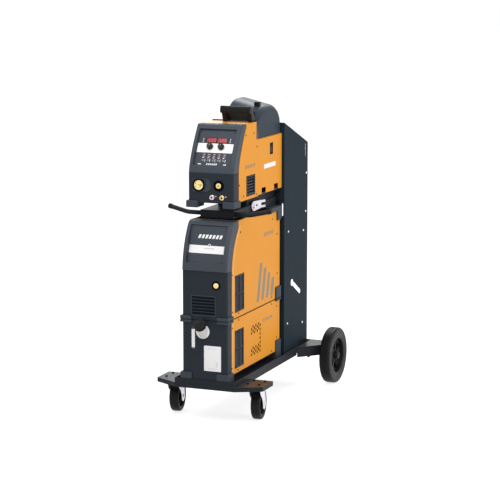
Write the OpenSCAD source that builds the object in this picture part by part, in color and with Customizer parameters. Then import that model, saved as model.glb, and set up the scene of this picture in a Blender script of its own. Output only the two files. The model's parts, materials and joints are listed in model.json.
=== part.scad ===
// Wire-feed welder on a two-castor cart: water cooler, power source and wire feeder
// stacked on a bottle cart. Millimetres, +Z up, +Y to the rear. The origin is on the
// floor, in the middle of the overall width and length.

/* [Machines] */
// Width of the cooler, the power source and the feeder over their side sheets
machine_w = 245; // [205:5:295]
// Height of the water cooler's case
cooler_h = 284; // [236:2:342]
// Height of the power source's case
source_h = 489; // [407:1:587]
// Depth of the cooler and the power source, front face to rear sheet
machine_d = 719; // [680:1:760]
// Height of the wire feeder's case at its front
feeder_h = 382; // [340:2:460]
// Height of the wire feeder's case behind the step
feeder_rear_h = 292; // [270:2:310]
// Depth of the wire feeder
feeder_d = 664; // [640:1:664]
// Sheet thickness of the cases
case_t = 1.5; // [1:0.5:2.5]
// Wall of the moulded front panels
front_t = 4; // [3:0.5:5]

/* [Cart] */
// Width of the tray
tray_w = 326; // [300:2:400]
// Height of the tray's rim above its underside
tray_rim = 25; // [15:1:35]
// Sheet thickness of the cart
cart_t = 3; // [2:0.5:4]
// Width of the bottle column
column_w = 276; // [250:2:300]
// Depth of the bottle column
column_d = 353; // [300:1:360]
// Height of the column at its front edge, from the floor
column_h = 1453; // [1380:1:1600]
// Fall of the column's slanted top, front to rear
column_fall = 136; // [60:1:200]
// Overall width across the front castor wings
wing_w = 580; // [560:2:640]
// Width of the shelf under the feeder
shelf_w = 181; // [150:1:200]
// Diameter of the cable rest's tube
rest_d = 24; // [18:1:28]
// Reach of the cable rest's arms, tip to tip
rest_w = 550; // [480:2:600]

/* [Wheels] */
// Diameter of the castor wheels
castor_d = 160; // [125:5:170]
// Width of the castor wheels
castor_w = 50; // [40:1:54]
// Castor trail, pivot to axle
castor_trail = 45; // [40:1:50]
// Angle at which the castors stand
castor_turn = 8; // [-30:1:30]
// Diameter of the rear wheels
wheel_d = 305; // [260:5:320]
// Width of the rear wheels
wheel_w = 60; // [50:1:70]
// Diameter of the rear axle
axle_d = 20; // [16:1:25]

/* [Controls] */
// Diameter of the two setting knobs
knob_d = 33; // [26:1:40]
// Height of the setting knobs
knob_h = 18; // [12:1:24]
// Diameter of the five push buttons
button_d = 14; // [10:1:18]
// Travel of a push button
button_travel = 1.5; // [1:0.1:2]
// Diameter of the cooler's filler cap
cap_d = 62; // [60:1:90]

/* [Wire] */
// Diameter of the wire spool
spool_d = 300; // [250:5:300]
// Width of the wire spool
spool_w = 100; // [80:1:103]
// Diameter of the drive rolls
roll_d = 30; // [25:1:40]

/* [Fits] */
// Radial running clearance of pins in bores
run_gap = 0.05; // [0.02:0.01:0.1]
// Gap between curved faces of separate pieces
skin_gap = 0.4; // [0.3:0.1:1]

/* [Hidden] */
$fn = 48;
eps = 0.01;

// Heights, from the floor up
castor_h = castor_d + 35;
bar_z = castor_h;                       // underside of the crossbar's skin
floor_z = bar_z + cart_t;               // underside of the tray's floor
deck_z = floor_z + 2.5;                 // top of the tray's floor
rim_z = floor_z + tray_rim;
case_gap = 3;
cooler_z0 = deck_z + 42.5;
cooler_z1 = cooler_z0 + cooler_h - case_gap / 2;
source_z0 = cooler_z1 + case_gap;
source_z1 = source_z0 + source_h - case_gap / 2;
shelf_z0 = source_z1 + 4;
shelf_z1 = shelf_z0 + 40;
stool_h = 47;
feeder_z0 = shelf_z1 + stool_h;
feeder_z1 = feeder_z0 + feeder_h;
step_z = feeder_z0 + feeder_rear_h;

// Depths; the cooler's and the source's front faces lie at y = 0 before the shift
half_w = machine_w / 2;
bulge = 6;
tray_y0 = -6;
column_y0 = machine_d + 28;
column_y1 = column_y0 + column_d;
tray_y1 = column_y1 + 5;
feeder_y0 = 82;
feeder_y1 = feeder_y0 + feeder_d - 0.5;
step_y = feeder_y0 + 316;
axle_y = column_y1 - 22;
axle_z = wheel_d / 2;
wheel_x = 300;
pivot_x = 225;
pivot_y = 137;
shelf_y0 = 162;

// Filler cap, on a neck that leans forwards
cap_h = 26;
cap_reach = 55;
neck_tilt = 45;
neck_z = cooler_z1 - 55.5;
neck_x = -9;
cap_y = -cap_reach * sin(neck_tilt);
front_y = cap_y - cap_h / 2 * sin(neck_tilt) - cap_d / 2 * cos(neck_tilt);
rear_y = axle_y + wheel_d / 2;
mid_y = (front_y + rear_y) / 2;

// Side returns of the moulded fronts, and their curved boundaries
return_d = 54;
source_return = 57;
feeder_return = 68;
corner_r = 14;
curve_z0 = source_z0 + 211.5;
bezel_z0 = curve_z0 + 36;
source_lean = 88;
feeder_lean = 118;
face_h = 150;
feeder_bezel_z0 = feeder_z0 + face_h;
steps = 12;

function source_rise(z) = max(0, (z - curve_z0) / (source_z1 - curve_z0));
function source_front_y(z) = -bulge + source_lean * pow(source_rise(z), 2.3);
function source_edge_y(z) = source_return + 95 * min(1, pow(source_rise(z) / 0.888, 2.3));
function feeder_rise(z) = max(0, (z - feeder_bezel_z0) / (feeder_z1 - feeder_bezel_z0));
function feeder_front_y(z) = feeder_y0 + feeder_lean * pow(feeder_rise(z), 1.42);
function feeder_edge_y(z) = feeder_front_y(z) + feeder_return - 9 * feeder_rise(z);
function span(z0, z1) = [for (i = [0:steps]) z0 + (z1 - z0) * i / steps];

// Moves a piece from the machines' frame to the origin on the floor
module placed() { translate([0, -mid_y, 0]) children(); }
// Box from three ranges
module box(x, y, z) { translate([x[0], y[0], z[0]]) cube([x[1] - x[0], y[1] - y[0], z[1] - z[0]]); }
// Extrudes an outline drawn in (Y, Z) along X
module along_x(x0, x1) { translate([x0, 0, 0]) rotate([90, 0, 90]) linear_extrude(x1 - x0) children(); }
// Extrudes an outline drawn in (X, Z) along Y
module along_y(y0, y1) { translate([0, y1, 0]) rotate([90, 0, 0]) linear_extrude(y1 - y0) children(); }
// Round bar along X, from x0 to x1
module bar_x(x0, x1, y, z, d) { translate([x0, y, z]) rotate([0, 90, 0]) cylinder(h = x1 - x0, d = d); }
// Round bar along Y, from y0 to y1
module bar_y(x, y0, y1, z, d) { translate([x, y0, z]) rotate([-90, 0, 0]) cylinder(h = y1 - y0, d = d); }
// The same on both sides
module both_sides() { children(); mirror([1, 0, 0]) children(); }
// Slot with round ends between two points
module slot2d(p, q, w) {
    l = norm(q - p);
    a = atan2(q[1] - p[1], q[0] - p[0]);
    translate(p) rotate(a) {
        circle(d = w);
        translate([0, -w / 2]) square([l, w]);
        translate([l, 0]) circle(d = w);
    }
}
// Rectangle with rounded corners, from two corners
module soft_rect(lo, hi, r) {
    translate(lo + [r, 0]) square([hi[0] - lo[0] - 2 * r, hi[1] - lo[1]]);
    translate(lo + [0, r]) square([hi[0] - lo[0], hi[1] - lo[1] - 2 * r]);
    for (x = [lo[0] + r, hi[0] - r], y = [lo[1] + r, hi[1] - r]) translate([x, y]) circle(r);
}

// ---------- Cart ----------
cart_colour = "#2b2f35";
column_colour = "#343a43";
zinc = "#cfcdd6";
bolt_d = 8;
castor_hole_x = 60;
castor_hole_y = 80;
foot_w = 26;
foot_holes = [40, 300];

module castor_holes(d, h) {
    for (sx = [-1, 1], ix = [-1, 1], iy = [-1, 1])
        translate([sx * pivot_x + ix * castor_hole_x / 2, pivot_y + iy * castor_hole_y / 2, 0])
            cylinder(h = h, d = d);
}
module column_holes(d, h) {
    for (s = [-1, 1], y = foot_holes)
        translate([s * (column_w / 2 - cart_t - foot_w / 2), column_y0 + y, 0]) cylinder(h = h, d = d);
}

module tray() color(cart_colour) placed() difference() {
    union() {
        box([-tray_w / 2, tray_w / 2], [tray_y0, tray_y1], [floor_z, deck_z]);
        for (y = [tray_y0, tray_y1 - cart_t]) box([-tray_w / 2, tray_w / 2], [y, y + cart_t],
            [floor_z, rim_z]);
        both_sides() {
            box([tray_w / 2 - cart_t, tray_w / 2], [tray_y0, tray_y1], [floor_z, rim_z]);
            box([tray_w / 2 - cart_t, tray_w / 2], [wing_y1 + 4, arm_y0 - 4], [floor_z - 18, floor_z]);
        }
    }
    translate([0, 0, floor_z - 1]) column_holes(bolt_d + 2 * run_gap, 5);
}

wing_y0 = 61;
wing_y1 = 201;
wing_depth = 20.5;
wing_outline = [
    [-tray_w / 2, tray_y0], [tray_w / 2, tray_y0], [wing_w / 2, wing_y0],
    [wing_w / 2, wing_y1], [-wing_w / 2, wing_y1], [-wing_w / 2, wing_y0]
];
// Inside of a convex outline given anticlockwise, one wall thickness in
function inward(a, b) = let (d = b - a) [-d[1], d[0]] / norm(d);
function inset(p, t) = [for (i = [0:len(p) - 1])
    let (a = p[(i + len(p) - 1) % len(p)], b = p[i], c = p[(i + 1) % len(p)],
         n = inward(a, b), m = inward(b, c))
    b + (n + m) * t / (1 + n * m)];

module front_crossbar() color(cart_colour) placed() difference() {
    translate([0, 0, bar_z - wing_depth]) linear_extrude(wing_depth + cart_t) polygon(wing_outline);
    translate([0, 0, bar_z - wing_depth - 1]) linear_extrude(wing_depth + 1) polygon(inset(wing_outline, cart_t));
    translate([0, 0, bar_z - 1]) castor_holes(bolt_d + 2 * run_gap, cart_t + 2);
}

arm_y0 = column_y0 + 133;
arm_sweep = 105;
arm_x1 = wheel_x - wheel_w / 2 - 8;
arm_z0 = floor_z - 31;
arm_outline = [
    [tray_w / 2, arm_y0], [arm_x1, arm_y0 + arm_sweep], [arm_x1, tray_y1], [tray_w / 2, tray_y1]
];
module rear_crossbar() color(cart_colour) placed() difference() {
    union() {
        both_sides() {
            difference() {
                translate([0, 0, arm_z0]) linear_extrude(rim_z - arm_z0) polygon(arm_outline);
                translate([0, 0, arm_z0 - 1]) linear_extrude(rim_z - arm_z0 - cart_t + 1)
                    polygon(inset(arm_outline, cart_t));
            }
            for (x = [tray_w / 2 - cart_t, arm_x1 - 2 * cart_t])
                box([x, x + 2 * cart_t], [axle_y - 30, axle_y + 24], [axle_z - 22, arm_z0 + 2]);
        }
        difference() {
            box([-tray_w / 2, tray_w / 2], [arm_y0 + arm_sweep, tray_y1], [arm_z0, floor_z]);
            box([-tray_w / 2 - 1, tray_w / 2 + 1], [arm_y0 + arm_sweep + cart_t, tray_y1 - cart_t],
                [arm_z0 - 1, floor_z - cart_t]);
        }
    }
    bar_x(-wheel_x, wheel_x, axle_y, axle_z, axle_d + 2 * run_gap);
    translate([0, 0, floor_z - cart_t - 1]) column_holes(bolt_d + 2 * run_gap, cart_t + 2);
}

hub_w = wheel_w - 10;
module rear_axle() color("silver") placed()
    bar_x(-wheel_x - hub_w / 2 - 6, wheel_x + hub_w / 2 + 6, axle_y, axle_z, axle_d);

module axle_caps() color("#1c1d20") placed() both_sides() difference() {
    bar_x(wheel_x + hub_w / 2 + 0.3, wheel_x + hub_w / 2 + 9, axle_y, axle_z, 42);
    bar_x(wheel_x, wheel_x + hub_w / 2 + 6, axle_y, axle_z, axle_d + 2 * run_gap);
}

strap_slot_z = [column_h - column_fall - 74, column_h - column_fall - 4];
column_dots = [
    [330, column_h - 302], [322, column_h - 511], [289, column_h - 612], [61, column_h - 587],
    [278, deck_z + 132], [49, deck_z + 168]
];
lift_slot = [[121, 380], [238, 312]];
hook_slot_x = column_w / 2 - 10.5;

module column_side_outline() polygon([
    [column_y0, deck_z], [column_y1, deck_z], [column_y1, column_h - column_fall], [column_y0, column_h]
]);
module column() color(column_colour) placed() difference() {
    union() {
        both_sides() along_x(column_w / 2 - cart_t, column_w / 2) column_side_outline();
        box([-column_w / 2, column_w / 2], [column_y0, column_y0 + cart_t], [deck_z, column_h]);
        both_sides() box([column_w / 2 - cart_t - foot_w, column_w / 2 - cart_t],
            [column_y0 + 12, column_y1 - 12], [deck_z, deck_z + cart_t]);
    }
    along_x(-column_w, column_w) {
        slot2d([column_y1 - 34, strap_slot_z[0] + 5], [column_y1 - 34, strap_slot_z[1] - 5], 9);
        for (p = column_dots) translate([column_y0 + p[0], p[1]]) circle(d = 10);
        translate([column_y0, deck_z]) {
            slot2d(lift_slot[0], lift_slot[1], 24);
            translate(lift_slot[0]) circle(d = 38);
        }
    }
    both_sides() along_y(column_y0 - 1, column_y0 + cart_t + 1)
        slot2d([hook_slot_x, shelf_z1 - 99], [hook_slot_x, shelf_z1 - 39], 7);
    translate([0, 0, deck_z - 1]) column_holes(bolt_d + 2 * run_gap, cart_t + 2);
    back_bolts() bar_y(0, column_y0 - 1, column_y0 + cart_t + 1, 0, bolt_d + 2 * run_gap);
}

stool_x = 80;
stool_y0 = shelf_y0 + 203;
rest_y = shelf_y0 + 24;
rest_z = shelf_z0 + 21;
back_plate_x = 118;
back_bolt_x = 104;
back_bolt_z = [shelf_z1 - 24, shelf_z1 + 24];
stud_d = 10;
module back_bolts() for (s = [-1, 1], z = back_bolt_z) translate([s * back_bolt_x, 0, z]) children();
module shelf() color(cart_colour) placed() difference() {
    union() {
        difference() {
            box([-shelf_w / 2, shelf_w / 2], [shelf_y0, column_y0 - cart_t], [shelf_z0, shelf_z1]);
            box([-shelf_w / 2 + cart_t, shelf_w / 2 - cart_t], [shelf_y0 + cart_t, column_y0 - cart_t - eps],
                [shelf_z0 - 1, shelf_z1 - cart_t]);
        }
        difference() {
            box([-stool_x, stool_x], [stool_y0, column_y0 - cart_t], [shelf_z1 - 1, feeder_z0]);
            box([-stool_x + cart_t, stool_x - cart_t], [stool_y0 + cart_t, column_y0 - 2 * cart_t],
                [shelf_z1 - cart_t - 2, feeder_z0 - cart_t]);
        }
        box([-back_plate_x, back_plate_x], [column_y0 - cart_t, column_y0], [shelf_z0, shelf_z1 + 40]);
        bar_x(shelf_w / 2 - cart_t, fork_x + fork_t + 4, fork_y + 127, fork_z - 2.5, stud_d);
    }
    bar_x(-shelf_w, shelf_w, rest_y, rest_z, rest_d + 0.2);
    back_bolts() bar_y(0, column_y0 - 10, column_y0 + 1, 0, bolt_d + 2 * run_gap);
}

rest_bend_x = 169;
rest_bend = 14;
rest_turn = 62;
// Half the length of the sleeve over each bend, and of the cap on each tip
sleeve = 6;
sleeve_wall = 3;
module cable_rest() color("#1f2125") placed() {
    bar_x(-rest_bend_x, rest_bend_x, rest_y, rest_z, rest_d);
    both_sides() translate([rest_bend_x, rest_y, rest_z]) rotate([rest_turn, 0, 0]) {
        arm = (rest_w / 2 - rest_bend_x) / cos(rest_bend);
        bar_x(-sleeve, sleeve, 0, 0, rest_d + 2 * sleeve_wall);
        rotate(rest_bend) {
            bar_x(0, arm, 0, 0, rest_d);
            bar_x(arm, arm + sleeve, 0, 0, rest_d + 2 * sleeve_wall);
        }
    }
}

fork_t = 8;
fork_x = shelf_w / 2 + 0.3;
fork_y = stool_y0 + 53;
fork_z = shelf_z1 - 8;
fork_stroke = 40;
module lock_fork() color(zinc) placed()
along_x(fork_x, fork_x + fork_t) translate([fork_y, fork_z]) difference() {
    union() {
        translate([0, 0]) circle(r = 26);
        polygon([[0, -26], [86, -22], [86, 22], [0, 26]]);
        translate([86, 0]) circle(r = 22);
        slot2d([86, 13], [150, 10], 15);
        slot2d([86, -13], [152, -18], 14);
    }
    slot2d([104, -1], [170, -4], 11);
    slot2d([-2, 0], [-2 + fork_stroke + 8, 0], bolt_d + 1);
}

// Castors
plate_t = 4;
cup_d = 80;
crown_z1 = bar_z - 15.5;
crown_z0 = crown_z1 - 4;
pin_z0 = crown_z0 - 9;
kingpin_d = 12;
leg_gap = 2.5;
leg_t = 4;
pin_d = 10;
module at_castor(s) translate([s * pivot_x, pivot_y, 0]) rotate(castor_turn) children();

module castor_plates() color(zinc) placed()
    for (s = [-1, 1]) translate([s * pivot_x, pivot_y, 0]) difference() {
    union() {
        box([-43, 43], [-53, 53], [bar_z - plate_t, bar_z]);
        translate([0, 0, crown_z1 + 0.5]) cylinder(h = bar_z - plate_t - crown_z1 - 0.5, d = cup_d);
        translate([0, 0, crown_z0 - 3]) cylinder(h = 20, d = kingpin_d);
        translate([0, 0, pin_z0]) cylinder(h = 8, d = 20);
    }
    for (ix = [-1, 1], iy = [-1, 1])
        translate([ix * castor_hole_x / 2, iy * castor_hole_y / 2, bar_z - plate_t - 1])
            cylinder(h = plate_t + 2, d = bolt_d + 2 * run_gap);
}

leg_x = castor_w / 2 + leg_gap;
leg_end = 28;
leg_hollow = 82;
module castor_fork(s) color(zinc) placed() at_castor(s) {
    difference() {
        union() {
            translate([0, 0, crown_z0]) cylinder(h = crown_z1 - crown_z0, d = cup_d + 6);
            both_sides() along_x(leg_x, leg_x + leg_t) difference() {
                union() {
                    polygon([[-36, crown_z1], [-40, crown_z0 - 20], [castor_trail - leg_end, castor_d / 2],
                        [castor_trail + leg_end, castor_d / 2],
                        [castor_trail + 22, castor_d / 2 + 40], [36, crown_z1]]);
                    translate([castor_trail, castor_d / 2]) circle(leg_end);
                }
                // hollow front edge
                translate([castor_trail - 105, castor_d / 2 - 20]) circle(leg_hollow, $fn = 96);
            }
        }
        translate([0, 0, crown_z0 - 1]) cylinder(h = 20, d = kingpin_d + 2 * run_gap);
        bar_x(-castor_w, castor_w, castor_trail, castor_d / 2, pin_d);
    }
    bar_x(-leg_x - leg_t, leg_x + leg_t, castor_trail, castor_d / 2, pin_d);
    both_sides() bar_x(leg_x + leg_t, leg_x + leg_t + 6, castor_trail, castor_d / 2, 17);
}
module castor_fork_left() castor_fork(-1);
module castor_fork_right() castor_fork(1);

// Castor wheel: a round-shouldered tread over a spoked core, turned about X
tread_t = 20;
module castor_wheel(s) color("#232426") placed()
at_castor(s) translate([0, castor_trail, castor_d / 2]) rotate([0, 90, 0]) {
    rotate_extrude($fn = 64) difference() {
        union() {
            translate([castor_d / 2 - tread_t, -castor_w / 2]) square([tread_t - 12, castor_w]);
            translate([castor_d / 2 - tread_t, -castor_w / 2 + 12]) square([tread_t, castor_w - 24]);
            for (y = [-1, 1]) translate([castor_d / 2 - 12, y * (castor_w / 2 - 12)]) circle(12);
        }
        translate([0, -castor_w]) square([castor_d / 2 - tread_t, 2 * castor_w]);
    }
    difference() {
        union() {
            cylinder(h = castor_w + leg_gap, d = 34, center = true);
            cylinder(h = 12, d = castor_d - 2 * tread_t, center = true);
            rotate_extrude() translate([castor_d / 2 - tread_t - 6, -castor_w / 2 + 2])
                square([6, castor_w - 4]);
        }
        cylinder(h = 2 * castor_w, d = pin_d + 2 * run_gap, center = true);
    }
}
module castor_wheel_left() castor_wheel(-1);
module castor_wheel_right() castor_wheel(1);

// M8 bolt with its washer-faced head, pointing down
module bolt(len) {
    cylinder(h = 5.5, d = 14, $fn = 6);
    translate([0, 0, -len]) cylinder(h = len, d = bolt_d);
}
module cart_bolts() color("#3a3c40") placed() {
    translate([0, 0, bar_z + cart_t]) for (sx = [-1, 1], ix = [-1, 1], iy = [-1, 1])
        translate([sx * pivot_x + ix * castor_hole_x / 2, pivot_y + iy * castor_hole_y / 2, 0]) bolt(16);
    for (s = [-1, 1], y = foot_holes) translate([s * (column_w / 2 - cart_t - foot_w / 2), column_y0 + y,
        deck_z + cart_t]) bolt(14);
    back_bolts() translate([0, column_y0 - cart_t, 0]) rotate([90, 0, 0]) bolt(12);
    translate([fork_x + fork_t + 0.3, fork_y - 2, fork_z]) rotate([0, 90, 0]) {
        cylinder(h = 5, d = 16);
        translate([0, 0, -fork_t - 0.6]) cylinder(h = fork_t + 0.6, d = bolt_d);
    }
}

// Rear wheels
rim_d = 206;
shoulder = 12;
module rear_tyre(s) color("#26272a") placed() translate([s * wheel_x, axle_y, axle_z]) rotate([0, 90, 0])
    rotate_extrude($fn = 96) difference() {
        union() {
            translate([rim_d / 2, -wheel_w / 2]) square([wheel_d / 2 - shoulder - rim_d / 2, wheel_w]);
            translate([rim_d / 2, -wheel_w / 2 + shoulder])
                square([(wheel_d - rim_d) / 2, wheel_w - 2 * shoulder]);
            for (y = [-1, 1])
                translate([wheel_d / 2 - shoulder, y * (wheel_w / 2 - shoulder)]) circle(shoulder);
        }
        translate([0, -wheel_w]) square([rim_d / 2, 2 * wheel_w]);
    }
module rear_tyre_left() rear_tyre(-1);
module rear_tyre_right() rear_tyre(1);

spokes = 5;
module rear_rim(s) color("#1d1e21") placed()
translate([s * wheel_x, axle_y, axle_z]) rotate([0, s * 90, 0]) difference() {
    union() {
        rotate_extrude($fn = 96) {
            translate([rim_d / 2 - 7, -wheel_w / 2 + 3]) square([7 - run_gap, wheel_w - 6]);
            translate([rim_d / 2 - 15, -4]) square([9, 8]);
        }
        cylinder(h = hub_w, d = 48, center = true);
        cylinder(h = 8, d = 90, center = true);
        for (i = [0:spokes - 1]) rotate(360 / spokes * (i + 0.25)) {
            translate([18, -13, -9]) cube([rim_d / 2 - 26, 26, 18]);
        }
    }
    cylinder(h = 2 * wheel_w, d = axle_d + 2 * run_gap, center = true);
}
module rear_rim_left() rear_rim(-1);
module rear_rim_right() rear_rim(1);

// ---------- Shared case parts ----------
orange = "#e8a043";
dark = "#2f343b";
bezel_colour = "#454b52";
screw_d = 4;
head_d = 9;
// Screws in each side sheet: distance from the front plane, height over the case's underside
source_screws = [[176, 426], [612, 432], [681, 344], [682, 133], [603, 18], [64, 226], [70, 35], [148, 17]];
cooler_screws = [[676, 242], [603, 266], [151, 267], [67, 240], [677, 74], [605, 13], [62, 34], [141, 12]];
feeder_screws = [[167, 327], [272, 329], [315, 256], [79, 85], [134, 24], [309, 13]];
vent_lip = 4;
// Side vents: front, rear, bottom and top edges
source_vent = [103, 222, source_z0 + 26, source_z0 + 214];
cooler_vent = [100, 216, cooler_z0 + 25, cooler_z0 + 219];
feeder_vent = [feeder_y0 + 172, feeder_y0 + 288, feeder_z0 + 16, feeder_z0 + 120];

module side_screws(list, y0, z0) both_sides() for (p = list) translate([half_w, y0 + p[0], z0 + p[1]])
    rotate([0, 90, 0]) children();
module all_screws() {
    side_screws(source_screws, 0, source_z0) children();
    side_screws(cooler_screws, 0, cooler_z0) children();
    side_screws(feeder_screws, feeder_y0, feeder_z0) children();
}
module screw_holes() all_screws() translate([0, 0, -6]) cylinder(h = 8, d = screw_d + 2 * run_gap);
module vent_window(v)
    box([-half_w - 1, half_w + 1], [v[0] + vent_lip, v[1] - vent_lip], [v[2] + vent_lip, v[3] - vent_lip]);

module case_screws() color("#9a9ca0") placed() all_screws() {
    cylinder(h = 2.2, d = head_d);
    translate([0, 0, -4]) cylinder(h = 4.1, d = screw_d);
}

vent_slot_pitch = 11;
module vent(v) difference() {
    union() {
        box([half_w, half_w + 1.5], [v[0], v[1]], [v[2], v[3]]);
        box([half_w - 4, half_w + 1], [v[0] + vent_lip + 0.1, v[1] - vent_lip - 0.1],
            [v[2] + vent_lip + 0.1, v[3] - vent_lip - 0.1]);
    }
    for (z = [v[2] + 9:vent_slot_pitch:v[3] - 14], y = [v[0] + 9, (v[0] + v[1]) / 2 + 4])
        box([half_w - 5, half_w + 2], [y, y + (v[1] - v[0]) / 2 - 13], [z, z + 5]);
}
module vent_inserts() color(dark) placed() both_sides()
    for (v = [source_vent, cooler_vent, feeder_vent]) vent(v);

// Plan of a front moulding, with rounded front corners
module front_plan(y0, y1, t = 0) {
    soft_rect([-half_w + t, y0 + t], [half_w - t, y0 + 40], corner_r - t);
    translate([-half_w + t, y0 + 25]) square([machine_w - 2 * t, y1 - y0 - 25]);
}
// Front moulding: a box open to the rear
module front_shell(y0, depth, z0, z1) difference() {
    translate([0, 0, z0]) linear_extrude(z1 - z0) front_plan(y0, y0 + depth);
    translate([0, 0, z0 + front_t]) linear_extrude(z1 - z0 - 2 * front_t)
        front_plan(y0, y0 + depth + 1, front_t);
}
// Children in a leaning panel's own frame: x across, z up along it, -y outwards
module on_panel(base, lean) translate([0, base[0], base[1]]) rotate([-lean, 0, 0]) children();

// Grey corner pieces, proud of the cases and wrapped round their edges
foot_proud = 8.5;
foot_x = [68, half_w + foot_proud];
seam_deep = 5;
module corner(y, z) box(foot_x, y, z);
module case_room(z0, z1, y0 = 0) box([0, half_w], [y0, machine_d], [z0, z1]);
module corner_feet() color("#8b9096") placed() both_sides() {
    difference() {
        union() {
            corner([tray_y0 + cart_t + 0.4, 69], [deck_z, rim_z + 1]);
            corner([-9, 69], [rim_z + 0.5, cooler_z0 + 15]);
        }
        case_room(cooler_z0, cooler_z1);
    }
    difference() {
        corner([655, machine_d + 5], [deck_z, cooler_z0 + 59]);
        case_room(cooler_z0, cooler_z1);
    }
    difference() {
        union() {
            corner([-9, 69], [cooler_z1 - 13, source_z0 + 18]);
            corner([655, machine_d + 5], [cooler_z1 - 12, source_z0 + 61]);
        }
        case_room(cooler_z0, cooler_z1);
        case_room(source_z0, source_z1);
        // seam between the two machines
        corner([-10, -9 + seam_deep], [cooler_z1, source_z0]);
        box([foot_x[1] - seam_deep, foot_x[1] + 1], [-10, machine_d + 6], [cooler_z1, source_z0]);
    }
    difference() {
        union() {
            corner([672, machine_d + 5], [source_z1 - 72, source_z1 + 3]);
            corner([593, machine_d + 5], [source_z1 - 22, source_z1 + 3]);
        }
        case_room(source_z0, source_z1);
    }
    difference() {
        corner([feeder_y0 - 9, feeder_y0 + 80], [feeder_z0 - 25, feeder_z0 + 10]);
        case_room(feeder_z0, feeder_z1, feeder_y0);
    }
}

// ---------- Water cooler ----------
neck_d = 52;
level_x = -62;
level_w = 20;
level_z = [cooler_z0 + 133, cooler_z0 + 244];
collar_d = 73;
module at_neck() translate([neck_x, 0, neck_z]) rotate([neck_tilt, 0, 0]) children();

module cooler_front() color(dark) placed() difference() {
    union() {
        front_shell(0, return_d, cooler_z0, cooler_z1);
        // skirt between the feet, down behind the tray's rim
        box([-foot_x[0] + skin_gap, foot_x[0] - skin_gap], [0, front_t], [deck_z + 4, cooler_z0 + 1]);
    }
    along_y(-1, front_t + 1) slot2d([level_x, level_z[0] + level_w / 2],
        [level_x, level_z[1] - level_w / 2], level_w);
    at_neck() translate([0, 0, -70]) cylinder(h = 140, d = neck_d + 1);
}

hex_d = 17;
hex_pitch = 22.5;
hex_rows = 7;
hex_columns = 7;
hex_from = [326, cooler_z0 + 50];
// The group is open at its front: only the top rows, the bottom rows and the rear column are cut
function hex_used(i, j) = i <= 1 || i >= hex_rows - 2 || j == hex_columns - 1;
module hex_holes() both_sides() along_x(half_w - 5, half_w + 1)
    for (i = [0:hex_rows - 1], j = [0:hex_columns - 1])
        if (hex_used(i, j)) translate(hex_from + hex_pitch * [sqrt(3) / 2 * j, i + (j % 2) / 2])
            circle(d = hex_d, $fn = 6);

module cooler_case() color(orange) placed() difference() {
    box([-half_w, half_w], [return_d, machine_d], [cooler_z0, cooler_z1]);
    box([-half_w + case_t, half_w - case_t], [return_d - 1, machine_d - case_t],
        [cooler_z0 - 1, cooler_z1 - case_t]);
    hex_holes();
    vent_window(cooler_vent);
    screw_holes();
}

cooler_fan_at = [385, cooler_z0 + 127];
cooler_fan_d = 168;
fan_shaft_d = 6;
pan_t = 2;
module cooler_chassis() color("#b9bcc0") placed() {
    box([-half_w + case_t + 0.5, half_w - case_t - 0.5], [return_d + 1, machine_d - case_t - 0.5],
        [cooler_z0, cooler_z0 + pan_t]);
    difference() {
        union() {
            box([102, 106], [cooler_fan_at[0] - 12, cooler_fan_at[0] + 12],
                [cooler_z0 + pan_t, cooler_fan_at[1] + 20]);
            box([84, 106], [cooler_fan_at[0] - 12, cooler_fan_at[0] + 12],
                [cooler_z0 + pan_t, cooler_z0 + pan_t + 3]);
            bar_x(106, 118, cooler_fan_at[0], cooler_fan_at[1], 54);
        }
        bar_x(100, 116, cooler_fan_at[0], cooler_fan_at[1], fan_shaft_d + 2 * run_gap);
    }
}

// Axial fan about Z, blades set at an angle
module fan(d, w, hub, blades) {
    cylinder(h = w, d = hub, center = true);
    intersection() {
        cylinder(h = w, d = d, center = true);
        for (i = [0:blades - 1]) rotate(360 / blades * i) rotate([35, 0, 0])
            translate([hub / 2 - 2, -(d / blades), -1.2]) cube([d, 2 * d / blades, 2.4]);
    }
}
module cooler_fan() color("#33363b") placed()
translate([91, cooler_fan_at[0], cooler_fan_at[1]]) rotate([0, 90, 0]) {
    fan(cooler_fan_d, 18, 44, 7);
    cylinder(h = 22, d = fan_shaft_d);
}

tank_x = [-110, 60];
tank_y = [14, 240];
tank_t = 3;
module coolant_tank() color("#f1efe8") placed() {
    difference() {
        union() {
            box(tank_x, tank_y, [cooler_z0 + front_t, neck_z + 20]);
            box([level_x - level_w / 2 + 1, level_x + level_w / 2 - 1], [1, tank_y[0] + 1],
                [level_z[0] + 9, level_z[1] - 9]);
            at_neck() translate([0, 0, -40]) cylinder(h = cap_reach + cap_h / 2 - 4.6 + 40, d = neck_d);
        }
        box([tank_x[0] + tank_t, tank_x[1] - tank_t], [tank_y[0] + tank_t, tank_y[1] - tank_t],
            [cooler_z0 + front_t + tank_t, neck_z + 20 - tank_t]);
        at_neck() translate([0, 0, -60]) cylinder(h = 200, d = neck_d - 8);
    }
    difference() {
        bar_y(neck_x, -3, 0, neck_z, collar_d);
        at_neck() translate([0, 0, -60]) cylinder(h = 200, d = neck_d + 2 * run_gap);
    }
}

grips = 24;
module filler_cap() color("#26282c") placed()
at_neck() translate([0, 0, cap_reach - cap_h / 2]) difference() {
    cylinder(h = cap_h, d = cap_d, $fn = 72);
    translate([0, 0, -1]) cylinder(h = cap_h - 3, d = neck_d + 2 * skin_gap);
    for (i = [0:grips - 1]) rotate(360 / grips * i) translate([cap_d / 2 + 1.2, 0, -1])
        cylinder(h = cap_h - 5, d = 5, $fn = 16);
}

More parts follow.
